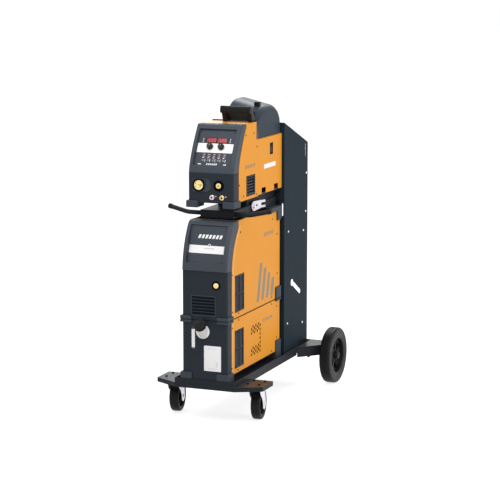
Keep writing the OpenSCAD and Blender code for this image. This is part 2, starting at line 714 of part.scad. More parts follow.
module coolant_pump() color("#6d7176") placed() translate([-58, 300, cooler_z0 + pan_t]) {
    translate([-34, 0, 0]) cube([68, 100, 8]);
    translate([0, 10, 45]) rotate([-90, 0, 0]) cylinder(h = 80, d = 76);
    translate([-22, -22, 22]) cube([44, 34, 46]);
    translate([0, -42, 45]) rotate([-90, 0, 0]) cylinder(h = 21, d = 16);
}

radiator_x = [40, 76];
module radiator() color("#8f959b") placed() {
    z0 = cooler_z0 + pan_t;
    y0 = cooler_fan_at[0] - 92;
    y1 = cooler_fan_at[0] + 92;
    for (y = [y0, y1 - 14]) box(radiator_x, [y, y + 14], [z0, z0 + 215]);
    for (z = [z0 + 8:9:z0 + 206])
        box([radiator_x[0] + 3, radiator_x[1] - 3], [y0 + 13, y1 - 13], [z, z + 3]);
}

// ---------- Power source ----------
socket_x = 64;
socket_z = source_z0 + 179;
barrel_d = 36;
louvre_z = [source_z0 + 28, source_z0 + 122];
louvre_x = [-67, 55];
module source_face() color(dark) placed() difference() {
    front_shell(0, source_return, source_z0, bezel_z0);
    bar_y(socket_x, -1, front_t + 1, socket_z, barrel_d + 0.2);
    for (i = [0:5]) box(louvre_x, [-1, front_t + 1], [louvre_z[0] + 16 * i, louvre_z[0] + 16 * i + 9]);
}

crest_r = 30;
// Front profile of a bezel: its curve, then a soft turn into the flat top
function turn(a, b, c) = [for (i = [1:5]) let (t = i / 5)
    a * pow(1 - t, 2) + 2 * b * t * (1 - t) + c * pow(t, 2)];
function source_profile(t) = concat(
    [for (z = span(bezel_z0 + t, source_z1 - crest_r)) [source_front_y(z) + t, z]],
    turn([source_front_y(source_z1 - crest_r) + t, source_z1 - crest_r],
        [source_front_y(source_z1) + t - 4, source_z1 - t],
        [source_front_y(source_z1) + crest_r - 8, source_z1 - t]));
function source_border() = [for (i = [0:steps]) let (z = source_z1 - (source_z1 - bezel_z0) * i / steps)
    [source_edge_y(z), z]];
source_panel_at = [12, source_z0 + 281.5];
source_panel_to = [76, source_z1 - 21];
source_panel_tilt = atan2(source_panel_to[0] - source_panel_at[0], source_panel_to[1] - source_panel_at[1]);
source_panel_h = norm(source_panel_to - source_panel_at);
source_panel_x = 100;
panel_t = 3;

// A bezel: a shell between its profile and its border, with a pocket for the panel
module bezel(profile, inner, border, base, tilt, h, x) difference() {
    union() {
        difference() {
            along_x(-half_w, half_w) polygon(concat(profile, border));
            along_x(-half_w + front_t, half_w - front_t) polygon(concat(inner,
                [[border[0][0] + 30, inner[len(inner) - 1][1]], [border[0][0] + 30, inner[0][1]]]));
        }
        intersection() {
            on_panel(base, tilt) box([-x - 4, x + 4], [-80, panel_t + 4], [-4, h + 4]);
            along_x(-half_w, half_w) polygon(concat(profile, border));
        }
    }
    on_panel(base, tilt) {
        box([-x, x], [-90, panel_t], [0, h]);
        box([-x + 10, x - 10], [-90, panel_t + 9], [10, h - 10]);
    }
}
module source_bezel() color(bezel_colour) placed()
    bezel(source_profile(0), source_profile(front_t), source_border(), source_panel_at, source_panel_tilt,
        source_panel_h, source_panel_x);
module source_panel() color(dark) placed() on_panel(source_panel_at, source_panel_tilt)
    box([-source_panel_x + skin_gap, source_panel_x - skin_gap], [0, panel_t],
        [skin_gap, source_panel_h - skin_gap]);

rear_fan_at = [10, source_z0 + 150];
rear_fan_d = 144;
switch_at = [-70, source_z0 + 330];
switch_shaft_d = 8;
gland_at = [62, source_z0 + 330];
module source_case() color(orange) placed() difference() {
    along_x(-half_w, half_w) polygon(concat(
        [[source_return, source_z0], [machine_d, source_z0], [machine_d, source_z1]], source_border()));
    box([-half_w + case_t, half_w - case_t], [0, machine_d - case_t], [source_z0 - 1, source_z1 - case_t]);
    vent_window(source_vent);
    screw_holes();
    for (i = [-4:4]) box([rear_fan_at[0] - 55, rear_fan_at[0] + 55], [machine_d - 3, machine_d + 1],
        [rear_fan_at[1] + 14 * i - 3.5, rear_fan_at[1] + 14 * i + 3.5]);
    bar_y(switch_at[0], machine_d - 3, machine_d + 1, switch_at[1], 20);
    bar_y(gland_at[0], machine_d - 3, machine_d + 1, gland_at[1], 25);
}

fan_frame = 158;
module source_chassis() color("#b4b7bb") placed() {
    box([-half_w + case_t + 0.5, half_w - case_t - 0.5], [source_return + 1, machine_d - case_t - 0.5],
        [source_z0, source_z0 + pan_t]);
    // fan frame, its spider and motor
    difference() {
        union() {
            difference() {
                box([rear_fan_at[0] - fan_frame / 2, rear_fan_at[0] + fan_frame / 2],
                    [machine_d - 27, machine_d - 3],
                    [rear_fan_at[1] - fan_frame / 2, rear_fan_at[1] + fan_frame / 2]);
                bar_y(rear_fan_at[0], machine_d - 30, machine_d, rear_fan_at[1], rear_fan_d + 6);
            }
            box([rear_fan_at[0] - fan_frame / 2 + 1, rear_fan_at[0] + fan_frame / 2 - 1],
                [machine_d - 7, machine_d - 3], [rear_fan_at[1] - 8, rear_fan_at[1] + 8]);
            bar_y(rear_fan_at[0], machine_d - 9, machine_d - 3, rear_fan_at[1], 44);
        }
        bar_y(rear_fan_at[0], machine_d - 30, machine_d - 5, rear_fan_at[1], fan_shaft_d + 2 * run_gap);
    }
    for (x = [rear_fan_at[0] - fan_frame / 2, rear_fan_at[0] + fan_frame / 2 - 10])
        box([x, x + 10], [machine_d - 24, machine_d - 6],
            [source_z0 + pan_t, rear_fan_at[1] - fan_frame / 2]);
    // switch plate and cord gland on the rear sheet
    difference() {
        box([switch_at[0] - 30, switch_at[0] + 30], [machine_d, machine_d + 3],
            [switch_at[1] - 30, switch_at[1] + 30]);
        bar_y(switch_at[0], machine_d - 1, machine_d + 4, switch_at[1], switch_shaft_d + 2 * run_gap);
    }
    difference() {
        union() {
            bar_y(gland_at[0], machine_d, machine_d + 18, gland_at[1], 32);
            bar_y(gland_at[0], machine_d - 12, machine_d + 1, gland_at[1], 24.8);
        }
        bar_y(gland_at[0], machine_d - 20, machine_d + 20, gland_at[1], 13);
    }
}

module power_module() color("#7b8087") placed() {
    z0 = source_z0 + pan_t;
    // transformer: laminated core with two windings
    translate([-70, 420, z0]) {
        cube([140, 90, 26]);
        for (x = [0, 114]) translate([x, 0, 25]) cube([26, 90, 110]);
        translate([0, 0, 134]) cube([140, 90, 26]);
        translate([26, -12, 26]) cube([88, 114, 108]);
    }
    // heat sink
    translate([-80, 250, z0]) {
        cube([160, 120, 10]);
        for (i = [0:11]) translate([3 + 14 * i, 0, 9]) cube([3, 120, 55]);
    }
    // control board on its posts
    translate([-90, 150, z0]) {
        for (x = [6, 168], y = [6, 68]) translate([x, y, 0]) cylinder(h = 221, d = 8);
        translate([0, 0, 220]) cube([174, 74, 2]);
        translate([30, 20, 221]) cube([60, 30, 22]);
    }
}

module source_fan() color("#33363b") placed()
translate([rear_fan_at[0], machine_d - 19, rear_fan_at[1]]) rotate([-90, 0, 0]) {
    fan(rear_fan_d, 16, 40, 7);
    cylinder(h = 12, d = fan_shaft_d);
}

module main_switch() color("#1c1e21") placed()
translate([switch_at[0], machine_d + 3.4, switch_at[1]]) rotate([-90, 0, 0]) {
    cylinder(h = 8, d = 42);
    translate([-6, -19, 7]) cube([12, 38, 9]);
    translate([0, 0, -14]) cylinder(h = 15, d = switch_shaft_d);
}

// ---------- Wire feeder ----------
wire_x = -63;
wire_z = feeder_z0 + 88.5;
euro_d = 56;
second_at = [44, feeder_z0 + 88.5];
couplings = [[8.5, feeder_z0 + 29.5], [62, feeder_z0 + 29.5]];
coupling_d = 21;
coupling_out = 12;
stem_d = 18;
hose_bore_d = 9;
module feeder_face() color(dark) placed() difference() {
    union() {
        front_shell(feeder_y0, feeder_return, feeder_z0, feeder_bezel_z0);
        along_y(feeder_y0 - 2, feeder_y0 + 0.5) {
            translate([-95, wire_z - 33]) square([66, 66]);
            translate([-29, wire_z]) circle(33);
        }
    }
    bar_y(wire_x, feeder_y0 - 4, feeder_y0 + front_t + 1, wire_z, euro_d + 0.2);
    bar_y(second_at[0], feeder_y0 - 1, feeder_y0 + front_t + 1, second_at[1], barrel_d + 0.2);
    for (c = couplings) bar_y(c[0], feeder_y0 - 1, feeder_y0 + front_t + 1, c[1], stem_d + 0.2);
}

module socket_bodies() color("#15171a") placed() {
    socket_body(socket_x, 0, socket_z, 43, barrel_d, 30);
    socket_body(second_at[0], feeder_y0, second_at[1], 54, barrel_d, 30);
    socket_body(wire_x, feeder_y0 - 2, wire_z, 64, euro_d, 50);
}
module socket_body(x, y, z, flange, barrel, bore) difference() {
    union() {
        bar_y(x, y - 6, y, z, flange);
        bar_y(x, y - 1, y + 52, z, barrel);
    }
    bar_y(x, y - 7, y + 53, z, bore + 2 * run_gap);
}
plug_bore_d = 13;
euro_bore_d = 16;
module socket_contacts() color("#c9a24a") placed() {
    contact(socket_x, 0, socket_z, 30, plug_bore_d);
    contact(second_at[0], feeder_y0, second_at[1], 30, plug_bore_d);
    contact(wire_x, feeder_y0 - 2, wire_z, 50, euro_bore_d);
    for (c = couplings) difference() {
        union() {
            bar_y(c[0], feeder_y0 - 3, feeder_y0, c[1], coupling_d + 4);
            bar_y(c[0], feeder_y0 - coupling_out, feeder_y0 - 2, c[1], coupling_d);
            bar_y(c[0], feeder_y0 - 1, feeder_y0 + 30, c[1], stem_d);
        }
        bar_y(c[0], feeder_y0 - coupling_out - 1, feeder_y0 + 31, c[1], hose_bore_d);
    }
}
module contact(x, y, z, d, bore) difference() {
    bar_y(x, y - 4, y + 56, z, d);
    bar_y(x, y - 5, y + 40, z, bore);
}

function feeder_profile(t) = concat(
    [for (z = span(feeder_bezel_z0 + t, feeder_z1 - 12)) [feeder_front_y(z) + t, z]],
    turn([feeder_front_y(feeder_z1 - 12) + t, feeder_z1 - 12],
        [feeder_front_y(feeder_z1) + t - 2, feeder_z1 - t],
        [feeder_front_y(feeder_z1) + 10, feeder_z1 - t]));
function feeder_border() = [for (i = [0:steps]) let (z = feeder_z1 - (feeder_z1 - feeder_bezel_z0) * i / steps)
    [feeder_edge_y(z), z]];
control_at = [feeder_y0 + 18, feeder_z0 + 181];
control_to = [feeder_y0 + 113, feeder_z1 - 27];
control_tilt = atan2(control_to[0] - control_at[0], control_to[1] - control_at[1]);
control_h = norm(control_to - control_at);
control_x = 101;
module feeder_bezel() color(bezel_colour) placed()
    bezel(feeder_profile(0), feeder_profile(front_t), feeder_border(),
        control_at, control_tilt, control_h, control_x);

knob_x = 30;
knob_up = 106;
knob_shaft_d = 6;
button_pitch = 27.5;
button_up = 32;
module control_point(x, up) placed()
    on_panel(control_at, control_tilt) translate([x, 0, up]) rotate([90, 0, 0]) children();
module control_panel() color(dark) placed() on_panel(control_at, control_tilt) difference() {
    union() {
        box([-control_x + skin_gap, control_x - skin_gap], [0, panel_t], [skin_gap, control_h - skin_gap]);
        for (x = [-70, 70], z = [20, control_h - 20])
            translate([x, panel_t - 0.5, z]) rotate([-90, 0, 0]) cylinder(h = 8, d = 7);
        box([-80, 80], [panel_t + 7, panel_t + 9], [14, control_h - 14]);
    }
    for (x = [-knob_x, knob_x])
        translate([x, -1, knob_up]) rotate([-90, 0, 0]) cylinder(h = 5, d = knob_shaft_d + 2 * run_gap);
    for (i = [-2:2])
        translate([i * button_pitch, -1, button_up]) rotate([-90, 0, 0])
            cylinder(h = 5, d = button_d + 2 * run_gap);
}
module knob(x) color("#1f2226") control_point(x, knob_up) {
    difference() {
        translate([0, 0, 0.6]) cylinder(h = knob_h, d = knob_d);
        translate([-1, knob_d / 2 - 10, knob_h - 0.4]) cube([2, 12, 2]);
    }
    translate([0, 0, -panel_t - 4]) cylinder(h = panel_t + 6, d = knob_shaft_d);
    translate([0, 0, -panel_t - 2.4]) cylinder(h = 2, d = 11);
}
module knob_left() knob(-knob_x);
module knob_right() knob(knob_x);
module button(i) color("#5b6067") control_point((i - 3) * button_pitch, button_up) {
    translate([0, 0, -panel_t - 1]) cylinder(h = panel_t + 4.5, d = button_d);
    translate([0, 0, -panel_t - 1.8]) cylinder(h = 1.5, d = button_d + 3);
}
module button_1() button(1);
module button_2() button(2);
module button_3() button(3);
module button_4() button(4);
module button_5() button(5);

hood_x = [-56, half_w - 6.5];
hood_y = [step_y + 2, feeder_y1 - 1.5];
hood_tall = 196;
hood_fall = 42;
hood_t = 3;
door_y0 = feeder_y0 + 329;
door_z = [feeder_z0 + 4, step_z - 2];
bulkhead_z = feeder_z1 + 5;
sill_h = 40;
hood_pin = [hood_x[0] - 5, step_z + sill_h + 1];
hood_pin_d = 5;
hood_knuckles = [440, 680];
module feeder_case() color(orange) placed() {
    difference() {
        union() {
            along_x(-half_w, half_w) polygon(concat(
                [[feeder_y0 + feeder_return, feeder_z0], [feeder_y1, feeder_z0], [feeder_y1, step_z],
                    [step_y + 1, step_z], [step_y + 1, feeder_z1]], feeder_border()));
            box([-half_w, half_w], [step_y - 2, step_y + 1], [step_z, bulkhead_z]);
            along_x(half_w - case_t, half_w)
                polygon([[step_y, feeder_z1 - 22], [step_y + 23, step_z], [step_y, step_z]]);
            // fixed sill along the hood's left side, with its share of the hinge
            box([hood_x[0], hood_x[0] + hood_t], [hood_y[0] + 5, hood_y[1] - 5],
                [step_z - 1, step_z + sill_h]);
            for (y = hood_knuckles) {
                box([hood_pin[0] - 4.5, hood_x[0] + 1], [y + 20.5, y + 40], [step_z - 1, hood_pin[1] - 8]);
                box([hood_pin[0] - 4.5, hood_pin[0] + 4.4], [y + 20.5, y + 40],
                    [hood_pin[1] - 9, hood_pin[1]]);
                bar_y(hood_pin[0], y + 20.5, y + 40, hood_pin[1], 9);
            }
        }
        box([-half_w + case_t, half_w - case_t], [feeder_y0, feeder_y1 - case_t],
            [feeder_z0 - 1, step_z - case_t]);
        box([-half_w + case_t, half_w - case_t], [feeder_y0, step_y - 2],
            [step_z - 10, feeder_z1 - case_t]);
        box([hood_x[0] + 4, hood_x[1] - 2], [hood_y[0] + 4, hood_y[1] - 4], [step_z - 10, step_z + 1]);
        box([half_w - 5, half_w + 1], [door_y0, feeder_y1 - case_t], [feeder_z0 - 1, door_z[1] + 0.5]);
        for (y = hood_knuckles) bar_y(hood_pin[0], y, y + 50, hood_pin[1], hood_pin_d + 2 * run_gap);
        vent_window(feeder_vent);
        screw_holes();
    }
}

divider_x = [-105, -100];
hub_at = [feeder_y0 + 489, step_z + 11];
hub_d = 51.9;
door_pin = [half_w - 5.5, feeder_z0 + 6];
door_pin_d = 5;
door_hinges = [feeder_y0 + 380, feeder_y0 + 554];
hinge_w = 56;
sill_x = half_w - 10.5;
spool_x0 = -40;
hub_plate_x = hood_x[0] + 6;
module feeder_chassis() color("#aeb2b7") placed() {
    difference() {
        union() {
            box([-half_w + case_t + 0.5, sill_x], [feeder_y0 + feeder_return + 1, feeder_y1 - case_t - 0.5],
                [feeder_z0, feeder_z0 + pan_t]);
            box([sill_x - 1, half_w - case_t - 0.5], [feeder_y0 + feeder_return + 1, door_y0 - 6],
                [feeder_z0, feeder_z0 + pan_t]);
            box(divider_x, [feeder_y0 + 130, feeder_y1 - case_t - 1], [feeder_z0 + 1, step_z - 4]);
            box([hub_plate_x, hub_plate_x + 4], [hub_at[0] - 55, hub_at[0] + 55],
                [feeder_z0 + 1, hub_at[1] - 20]);
            bar_x(hub_plate_x, hub_plate_x + 4, hub_at[0], hub_at[1], 84);
            bar_x(hub_plate_x + 3, spool_x0 + spool_w + 0.5, hub_at[0], hub_at[1], hub_d);
            bar_x(hub_plate_x + 3, spool_x0 - 0.5, hub_at[0], hub_at[1], 70);
            for (y = door_hinges) {
                box([sill_x - 4, half_w - case_t], [y + 6, y + hinge_w - 6],
                    [feeder_z0, feeder_z0 + pan_t]);
                box([door_pin[0] - 5, door_pin[0] + 4], [y + 6, y + hinge_w - 6],
                    [feeder_z0 + 1, door_pin[1] + 4.5]);
            }
        }
        for (y = door_hinges) bar_y(door_pin[0], y, y + hinge_w, door_pin[1], door_pin_d + 2 * run_gap);
    }
    bar_x(spool_x0 + spool_w + 0.5, spool_x0 + spool_w + 9, hub_at[0], hub_at[1], 62);
}

module wire_spool() color("#c98a4b") placed()
translate([spool_x0, hub_at[0], hub_at[1]]) rotate([0, 90, 0]) difference() {
    union() {
        for (z = [0, spool_w - 4]) translate([0, 0, z]) cylinder(h = 4, d = spool_d, $fn = 96);
        translate([0, 0, 3]) cylinder(h = spool_w - 6, d = spool_d - 50, $fn = 96);
    }
    translate([0, 0, -1]) cylinder(h = spool_w + 2, d = hub_d + 2 * run_gap);
}

// The hood's arch is squarer at its rear than at its front
arch_power = [3.6, 2.6];
arch_steps = 24;
function arch(a, h) = [for (i = [0:arch_steps])
    let (t = 180 * i / arch_steps, p = 2 / arch_power[t < 90 ? 0 : 1])
    [a * sign(cos(t)) * pow(abs(cos(t)), p), h * pow(abs(sin(t)), p)]];
module hood_form(t) translate([0, (hood_y[0] + hood_y[1]) / 2, step_z + 1]) {
    a = (hood_y[1] - hood_y[0]) / 2 - t;
    hull() {
        along_x(hood_x[0] + t, hood_x[0] + t + 0.1) polygon(arch(a, hood_tall - 1 - t));
        along_x(hood_x[1] - t - 0.1, hood_x[1] - t) polygon(arch(a, hood_tall - hood_fall - 1 - t));
    }
}
tab_x = [56, 97];
tab_y = [500, 540];
module spool_hood() color("#3d444c") placed() {
    difference() {
        union() {
            difference() {
                hood_form(0);
                translate([0, 0, -0.5]) hood_form(hood_t);
                box([hood_x[0] - 1, hood_x[0] + hood_t + 0.5], [hood_y[0], hood_y[1]],
                    [step_z, step_z + sill_h + 0.5]);
            }
            for (y = hood_knuckles) {
                bar_y(hood_pin[0], y, y + 20, hood_pin[1], 8);
                box([hood_pin[0], hood_x[0] + 2], [y, y + 20], [hood_pin[1] - 0.4, hood_pin[1] + 4]);
                bar_y(hood_pin[0], y + 5, y + 39, hood_pin[1], hood_pin_d);
            }
            difference() {
                box(tab_x, tab_y, [step_z + hood_tall - 40, step_z + hood_tall - 14]);
                hood_form(hood_t - 1);
            }
        }
    }
}

handle_x = [-50, 115];
handle_y = feeder_y0 + 248;
handle_arm_w = 24;
module carry_handle() color("#25282c") placed() {
    along_x(handle_x[0], handle_x[1]) slot2d([handle_y, feeder_z1 + 57],
        [handle_y + 2, feeder_z1 + 71], 24);
    for (x = [handle_x[0], handle_x[1] - handle_arm_w]) along_x(x, x + handle_arm_w) polygon([
        [handle_y - 11, feeder_z1 + 52], [handle_y + 8, feeder_z1 + 81], [handle_y + 20, feeder_z1 + 77],
        [step_y - 2.5, feeder_z1 + 16], [step_y - 2.5, feeder_z1], [handle_y + 26, feeder_z1],
        [handle_y + 10, feeder_z1 + 43]]);
}

latch_y = [feeder_y0 + 495, feeder_y0 + 538];
latch_z = [feeder_z0 + 196, feeder_z0 + 256];
module side_door() color(orange) placed() {
    difference() {
        union() {
            box([half_w - case_t, half_w], [door_y0 + 1, feeder_y1 - case_t - 1],
                [door_z[0], door_z[1] - 0.5]);
            for (y = [door_y0 + 4, feeder_y1 - case_t - 6])
                box([half_w - 6, half_w - 1], [y, y + case_t], [door_z[0] + 38, door_z[1] - 4]);
            box([half_w - 6, half_w - 1], [door_y0 + 4, feeder_y1 - case_t - 5],
                [door_z[1] - 5.5, door_z[1] - 4]);
            box([half_w - 12, half_w - 1], [latch_y[0] - 3, latch_y[1] + 3],
                [latch_z[0] - 3, latch_z[1] + 3]);
        }
        for (y = door_hinges) box([half_w - 5, half_w + 1], [y, y + hinge_w],
            [door_z[0] - 1, door_z[0] + 31]);
        box([half_w - 9, half_w + 1], latch_y, latch_z);
    }
    for (y = door_hinges) {
        for (t = [y - 4, y + hinge_w])
            box([door_pin[0] - 3.5, half_w - case_t + 0.5], [t, t + 4], [door_z[0], door_pin[1] + 5]);
        bar_y(door_pin[0], y - 4, y + hinge_w + 4, door_pin[1], door_pin_d);
    }
}

roll_y = feeder_y0 + 203;
roll_x = [wire_x - 7, wire_x + 6];
wire_d = 1.2;
drive_z = wire_z - wire_d / 2 - roll_d / 2;
press_z = wire_z + wire_d / 2 + roll_d / 2;
spindle_d = 8;
arm_pivot = [roll_y - 48, press_z + 10];
module drive_unit() color("#9aa0a6") placed() {
    difference() {
        union() {
            box([divider_x[1], divider_x[1] + 8], [roll_y - 66, roll_y + 66],
                [feeder_z0 + 22, wire_z + 52]);
            bar_x(divider_x[1] + 7, roll_x[0] - 14, roll_y, drive_z, 26);
        }
        bar_x(divider_x[1] + 2, wire_x, roll_y, drive_z, spindle_d + 2 * run_gap);
    }
    bar_x(divider_x[1] + 8, divider_x[1] + 25, arm_pivot[0], arm_pivot[1], spindle_d);
    bar_x(divider_x[1] + 8, 0, roll_y + 56, drive_z - 28, 54);
    for (y = [roll_y - 50, roll_y + 24]) difference() {
        union() {
            box([divider_x[1] + 8, wire_x + 6], [y, y + 12], [wire_z - 8, wire_z + 6]);
            bar_y(wire_x, y - 8, y + 28, wire_z, 10);
        }
        bar_y(wire_x, y - 9, y + 29, wire_z, 2.4);
    }
}
module roll(z) translate([roll_x[0], roll_y, z]) rotate([0, 90, 0]) {
    difference() {
        cylinder(h = roll_x[1] - roll_x[0], d = roll_d);
        rotate_extrude() translate([roll_d / 2, wire_x - roll_x[0]]) circle(d = 1.4);
    }
}
module drive_roll() color("#b8bcc1") placed() {
    roll(drive_z);
    bar_x(divider_x[1] + 3, roll_x[0] + 1, roll_y, drive_z, spindle_d);
    bar_x(roll_x[1] - 1, roll_x[1] + 5, roll_y, drive_z, 18);
}
arm_x = [divider_x[1] + 12, divider_x[1] + 24];
module pressure_arm() color("#44494f") placed() {
    difference() {
        along_x(arm_x[0], arm_x[1]) {
            slot2d(arm_pivot, [roll_y, press_z], 20);
            slot2d([roll_y, press_z], [roll_y + 50, press_z + 14], 16);
        }
        bar_x(arm_x[0] - 1, arm_x[1] + 1, arm_pivot[0], arm_pivot[1], spindle_d + 2 * run_gap);
    }
    bar_x(arm_x[1] - 1, roll_x[1] + 2, roll_y, press_z, spindle_d);
    translate([(arm_x[0] + arm_x[1]) / 2, roll_y + 50, press_z + 14]) cylinder(h = 34, d = 11);
}
module pressure_roll() color("#b8bcc1") placed() difference() {
    roll(press_z);
    bar_x(roll_x[0] - 1, roll_x[1] + 1, roll_y, press_z, spindle_d + 2 * run_gap);
}

tray();
front_crossbar();
rear_crossbar();
rear_axle();
column();
shelf();
cable_rest();
lock_fork();
castor_plates();
castor_fork_left();
castor_fork_right();
castor_wheel_left();
castor_wheel_right();
cart_bolts();
rear_tyre_left();
rear_tyre_right();
rear_rim_left();
rear_rim_right();
axle_caps();
cooler_front();
cooler_case();
cooler_chassis();
coolant_tank();
filler_cap();
coolant_pump();
radiator();
cooler_fan();
source_bezel();
source_face();
source_panel();
source_case();
source_chassis();
power_module();
source_fan();
main_switch();
socket_bodies();
socket_contacts();
vent_inserts();
corner_feet();
case_screws();
feeder_bezel();
feeder_face();
control_panel();
knob_left();
knob_right();
button_1();
button_2();
button_3();
button_4();
button_5();
feeder_case();
feeder_chassis();
spool_hood();
carry_handle();
side_door();
wire_spool();
drive_unit();
drive_roll();
pressure_arm();
pressure_roll();
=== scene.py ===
"""Looks of a wire-feed welder on its cart: water cooler, power source and wire feeder on a bottle cart.

Shapes are drawn in millimetres in the machine's frame: X to the right, Y rearwards from the front
plane of the cases, Z up from the floor. Form.piece() turns them into metres in the row frame.
"""

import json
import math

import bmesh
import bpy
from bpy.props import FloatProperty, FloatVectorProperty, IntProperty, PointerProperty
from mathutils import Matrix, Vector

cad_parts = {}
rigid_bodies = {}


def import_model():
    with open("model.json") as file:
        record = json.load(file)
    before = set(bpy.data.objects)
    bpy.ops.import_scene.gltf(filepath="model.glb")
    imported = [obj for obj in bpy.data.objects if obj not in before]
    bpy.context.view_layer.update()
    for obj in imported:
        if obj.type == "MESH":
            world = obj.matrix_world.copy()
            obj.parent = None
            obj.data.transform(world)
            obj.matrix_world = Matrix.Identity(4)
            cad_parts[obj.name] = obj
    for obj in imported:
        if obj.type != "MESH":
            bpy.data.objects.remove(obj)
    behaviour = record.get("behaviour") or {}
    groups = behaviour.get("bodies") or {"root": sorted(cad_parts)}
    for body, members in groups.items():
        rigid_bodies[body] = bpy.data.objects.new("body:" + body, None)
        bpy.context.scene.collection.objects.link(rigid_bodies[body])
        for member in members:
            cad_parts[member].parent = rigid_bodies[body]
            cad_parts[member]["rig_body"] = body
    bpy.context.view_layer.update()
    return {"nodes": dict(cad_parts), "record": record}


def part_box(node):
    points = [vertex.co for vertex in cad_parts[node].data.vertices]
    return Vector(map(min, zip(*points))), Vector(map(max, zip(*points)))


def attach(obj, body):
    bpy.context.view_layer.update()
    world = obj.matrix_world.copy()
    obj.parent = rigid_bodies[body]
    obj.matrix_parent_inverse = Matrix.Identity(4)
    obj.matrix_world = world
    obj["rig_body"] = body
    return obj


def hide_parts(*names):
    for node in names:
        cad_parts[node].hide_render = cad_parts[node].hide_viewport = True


bl_info = {
    "name": "Welder on Cart",
    "version": (1, 0, 0),
    "blender": (4, 5, 0),
    "location": "View3D > Sidebar > Welder",
    "description": "Builds the surfaces, small parts and studio of a wire-feed welder on a cart",
    "category": "Object",
}

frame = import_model()

MM = 0.001
ZERO_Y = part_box("cooler_front")[0].y


def linear(code):
    """A screen colour such as #e8a040 as linear red, green and blue."""
    values = [int(code[i:i + 2], 16) / 255 for i in (1, 3, 5)]
    return tuple(v / 12.92 if v <= 0.04045 else ((v + 0.055) / 1.055) ** 2.4 for v in values)


def box_of(name):
    """Lowest and highest corner of a CAD node, in machine millimetres."""
    shift = Vector((0, ZERO_Y, 0))
    low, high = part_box(name)
    return (low - shift) / MM, (high - shift) / MM


# ---------- Settings ----------
class WelderColours(bpy.types.PropertyGroup):
    """Colours of the finishes."""

    def colour(name, text, code):
        return FloatVectorProperty(
            name=name, description=text, default=linear(code), subtype="COLOR", size=3, min=0, max=1
        )

    orange: colour("Orange", "Powder coat of the side sheets", "#e6982b")
    front: colour("Front plastic", "Lower fronts and the recessed panels", "#262c33")
    bezel: colour("Bezel plastic", "Curved front frames", "#40464e")
    hood: colour("Hood plastic", "Hood over the wire spool", "#323a44")
    corner: colour("Corner plastic", "Corner feet and guards", "#3b4149")
    column: colour("Column", "Powder coat of the bottle column", "#253038")
    cart: colour("Cart", "Powder coat of the tray, crossbars and shelf", "#26292e")
    black: colour("Black plastic", "Handle, caps, rims and knobs", "#161617")
    rubber: colour("Rubber", "Tyres and castor treads", "#121212")
    zinc: colour("Zinc", "Plated castor forks and lock", "#dfdce6")
    steel: colour("Steel", "Plain sheet and turned steel", "#b4b8bd")
    brass: colour("Brass", "Sockets and couplings", "#ecd596")
    copper: colour("Copper", "Wire and windings", "#c4784a")
    white: colour("White", "Printed stripes, labels and the tank", "#f4f3f2")
    emblem: colour("Emblem", "Printed bars on the side sheets", "#87735a")
    red: colour("Red", "Display digits and lamps", "#e8303a")


class WelderSizes(bpy.types.PropertyGroup):
    """Sizes of the details that the frame leaves open."""

    def length(name, text, value):
        return FloatProperty(
            name=name, description=text, default=value * MM, unit="LENGTH", min=0, precision=4
        )

    plastic_edge: length("Plastic edge", "Radius of the mouldings' edges", 1.6)
    corner_edge: length("Corner edge", "Radius of the corner feet's edges", 4.0)
    bezel_corner: length("Bezel corner", "Radius of the bezels' front corners", 14.0)
    film: length("Film", "Thickness of printed films", 0.3)
    wire: length("Wire", "Spacing of the turns on the wire spool", 2.4)
    rest_bend: length("Rest bend", "Radius of the bends in the cable rest", 90.0)
    facets: IntProperty(name="Facets", description="Facets round a wheel", default=96, min=24, max=256)


class WelderStage(bpy.types.PropertyGroup):
    """Camera and studio."""

    def angle(name, text, degrees):
        return FloatProperty(name=name, description=text, default=math.radians(degrees), subtype="ANGLE")

    def power(name, text, watts):
        return FloatProperty(name=name, description=text, default=watts, unit="POWER")

    azimuth: angle("Azimuth", "Camera's turn from the front", 22.087)
    elevation: angle("Elevation", "Camera's height over the horizon", 9.533)
    distance: FloatProperty(
        name="Distance", description="Camera to the machine's zero point", default=9.4364, unit="LENGTH"
    )
    lens: FloatProperty(name="Lens", description="Focal length in millimetres", default=134.918)
    zero_pixel: FloatVectorProperty(
        name="Zero pixel", description="Place of the machine's zero point in a frame 500 pixels wide",
        default=(204.8707, 423.0155), size=2,
    )
    sky: FloatProperty(name="Sky", description="Strength of the room's light", default=0.72, min=0)
    key: power("Key", "Power of the large lamp above the front", 70.0)
    side: power("Side", "Power of the lamp at the right", 76.0)
    rim: power("Rim", "Power of the lamp above the rear", 95.0)


def sizes():
    return bpy.context.scene.welder_sizes


def colours():
    return bpy.context.scene.welder_colours


# ---------- Nodes ----------
def feed(tree, value, socket):
    """Links a socket to an input, or sets the input to a value."""
    if isinstance(value, bpy.types.NodeSocket):
        tree.links.new(value, socket)
    else:
        socket.default_value = value


def node(tree, kind, inputs=None, **settings):
    """A new node. inputs gives a socket or a value for the name or number of an input."""
    made = tree.nodes.new(kind)
    for name, value in settings.items():
        setattr(made, name, value)
    for name, value in (inputs or {}).items():
        feed(tree, value, made.inputs[name])
    return made


def math_node(tree, operation, a, b):
    return node(tree, "ShaderNodeMath", {0: a, 1: b}, operation=operation).outputs[0]


# ---------- Shader groups ----------
NOISE_ROUGHNESS = 0.55


def shader_group(name, inputs, outputs):
    """An empty shader node group with named sockets, and its end nodes."""
    group = bpy.data.node_groups.new(name, "ShaderNodeTree")
    for label, kind, value in inputs:
        socket = group.interface.new_socket(name=label, in_out="INPUT", socket_type="NodeSocket" + kind)
        socket.default_value = value
    for label, kind in outputs:
        group.interface.new_socket(name=label, in_out="OUTPUT", socket_type="NodeSocket" + kind)
    return group, node(group, "NodeGroupInput").outputs, node(group, "NodeGroupOutput").inputs


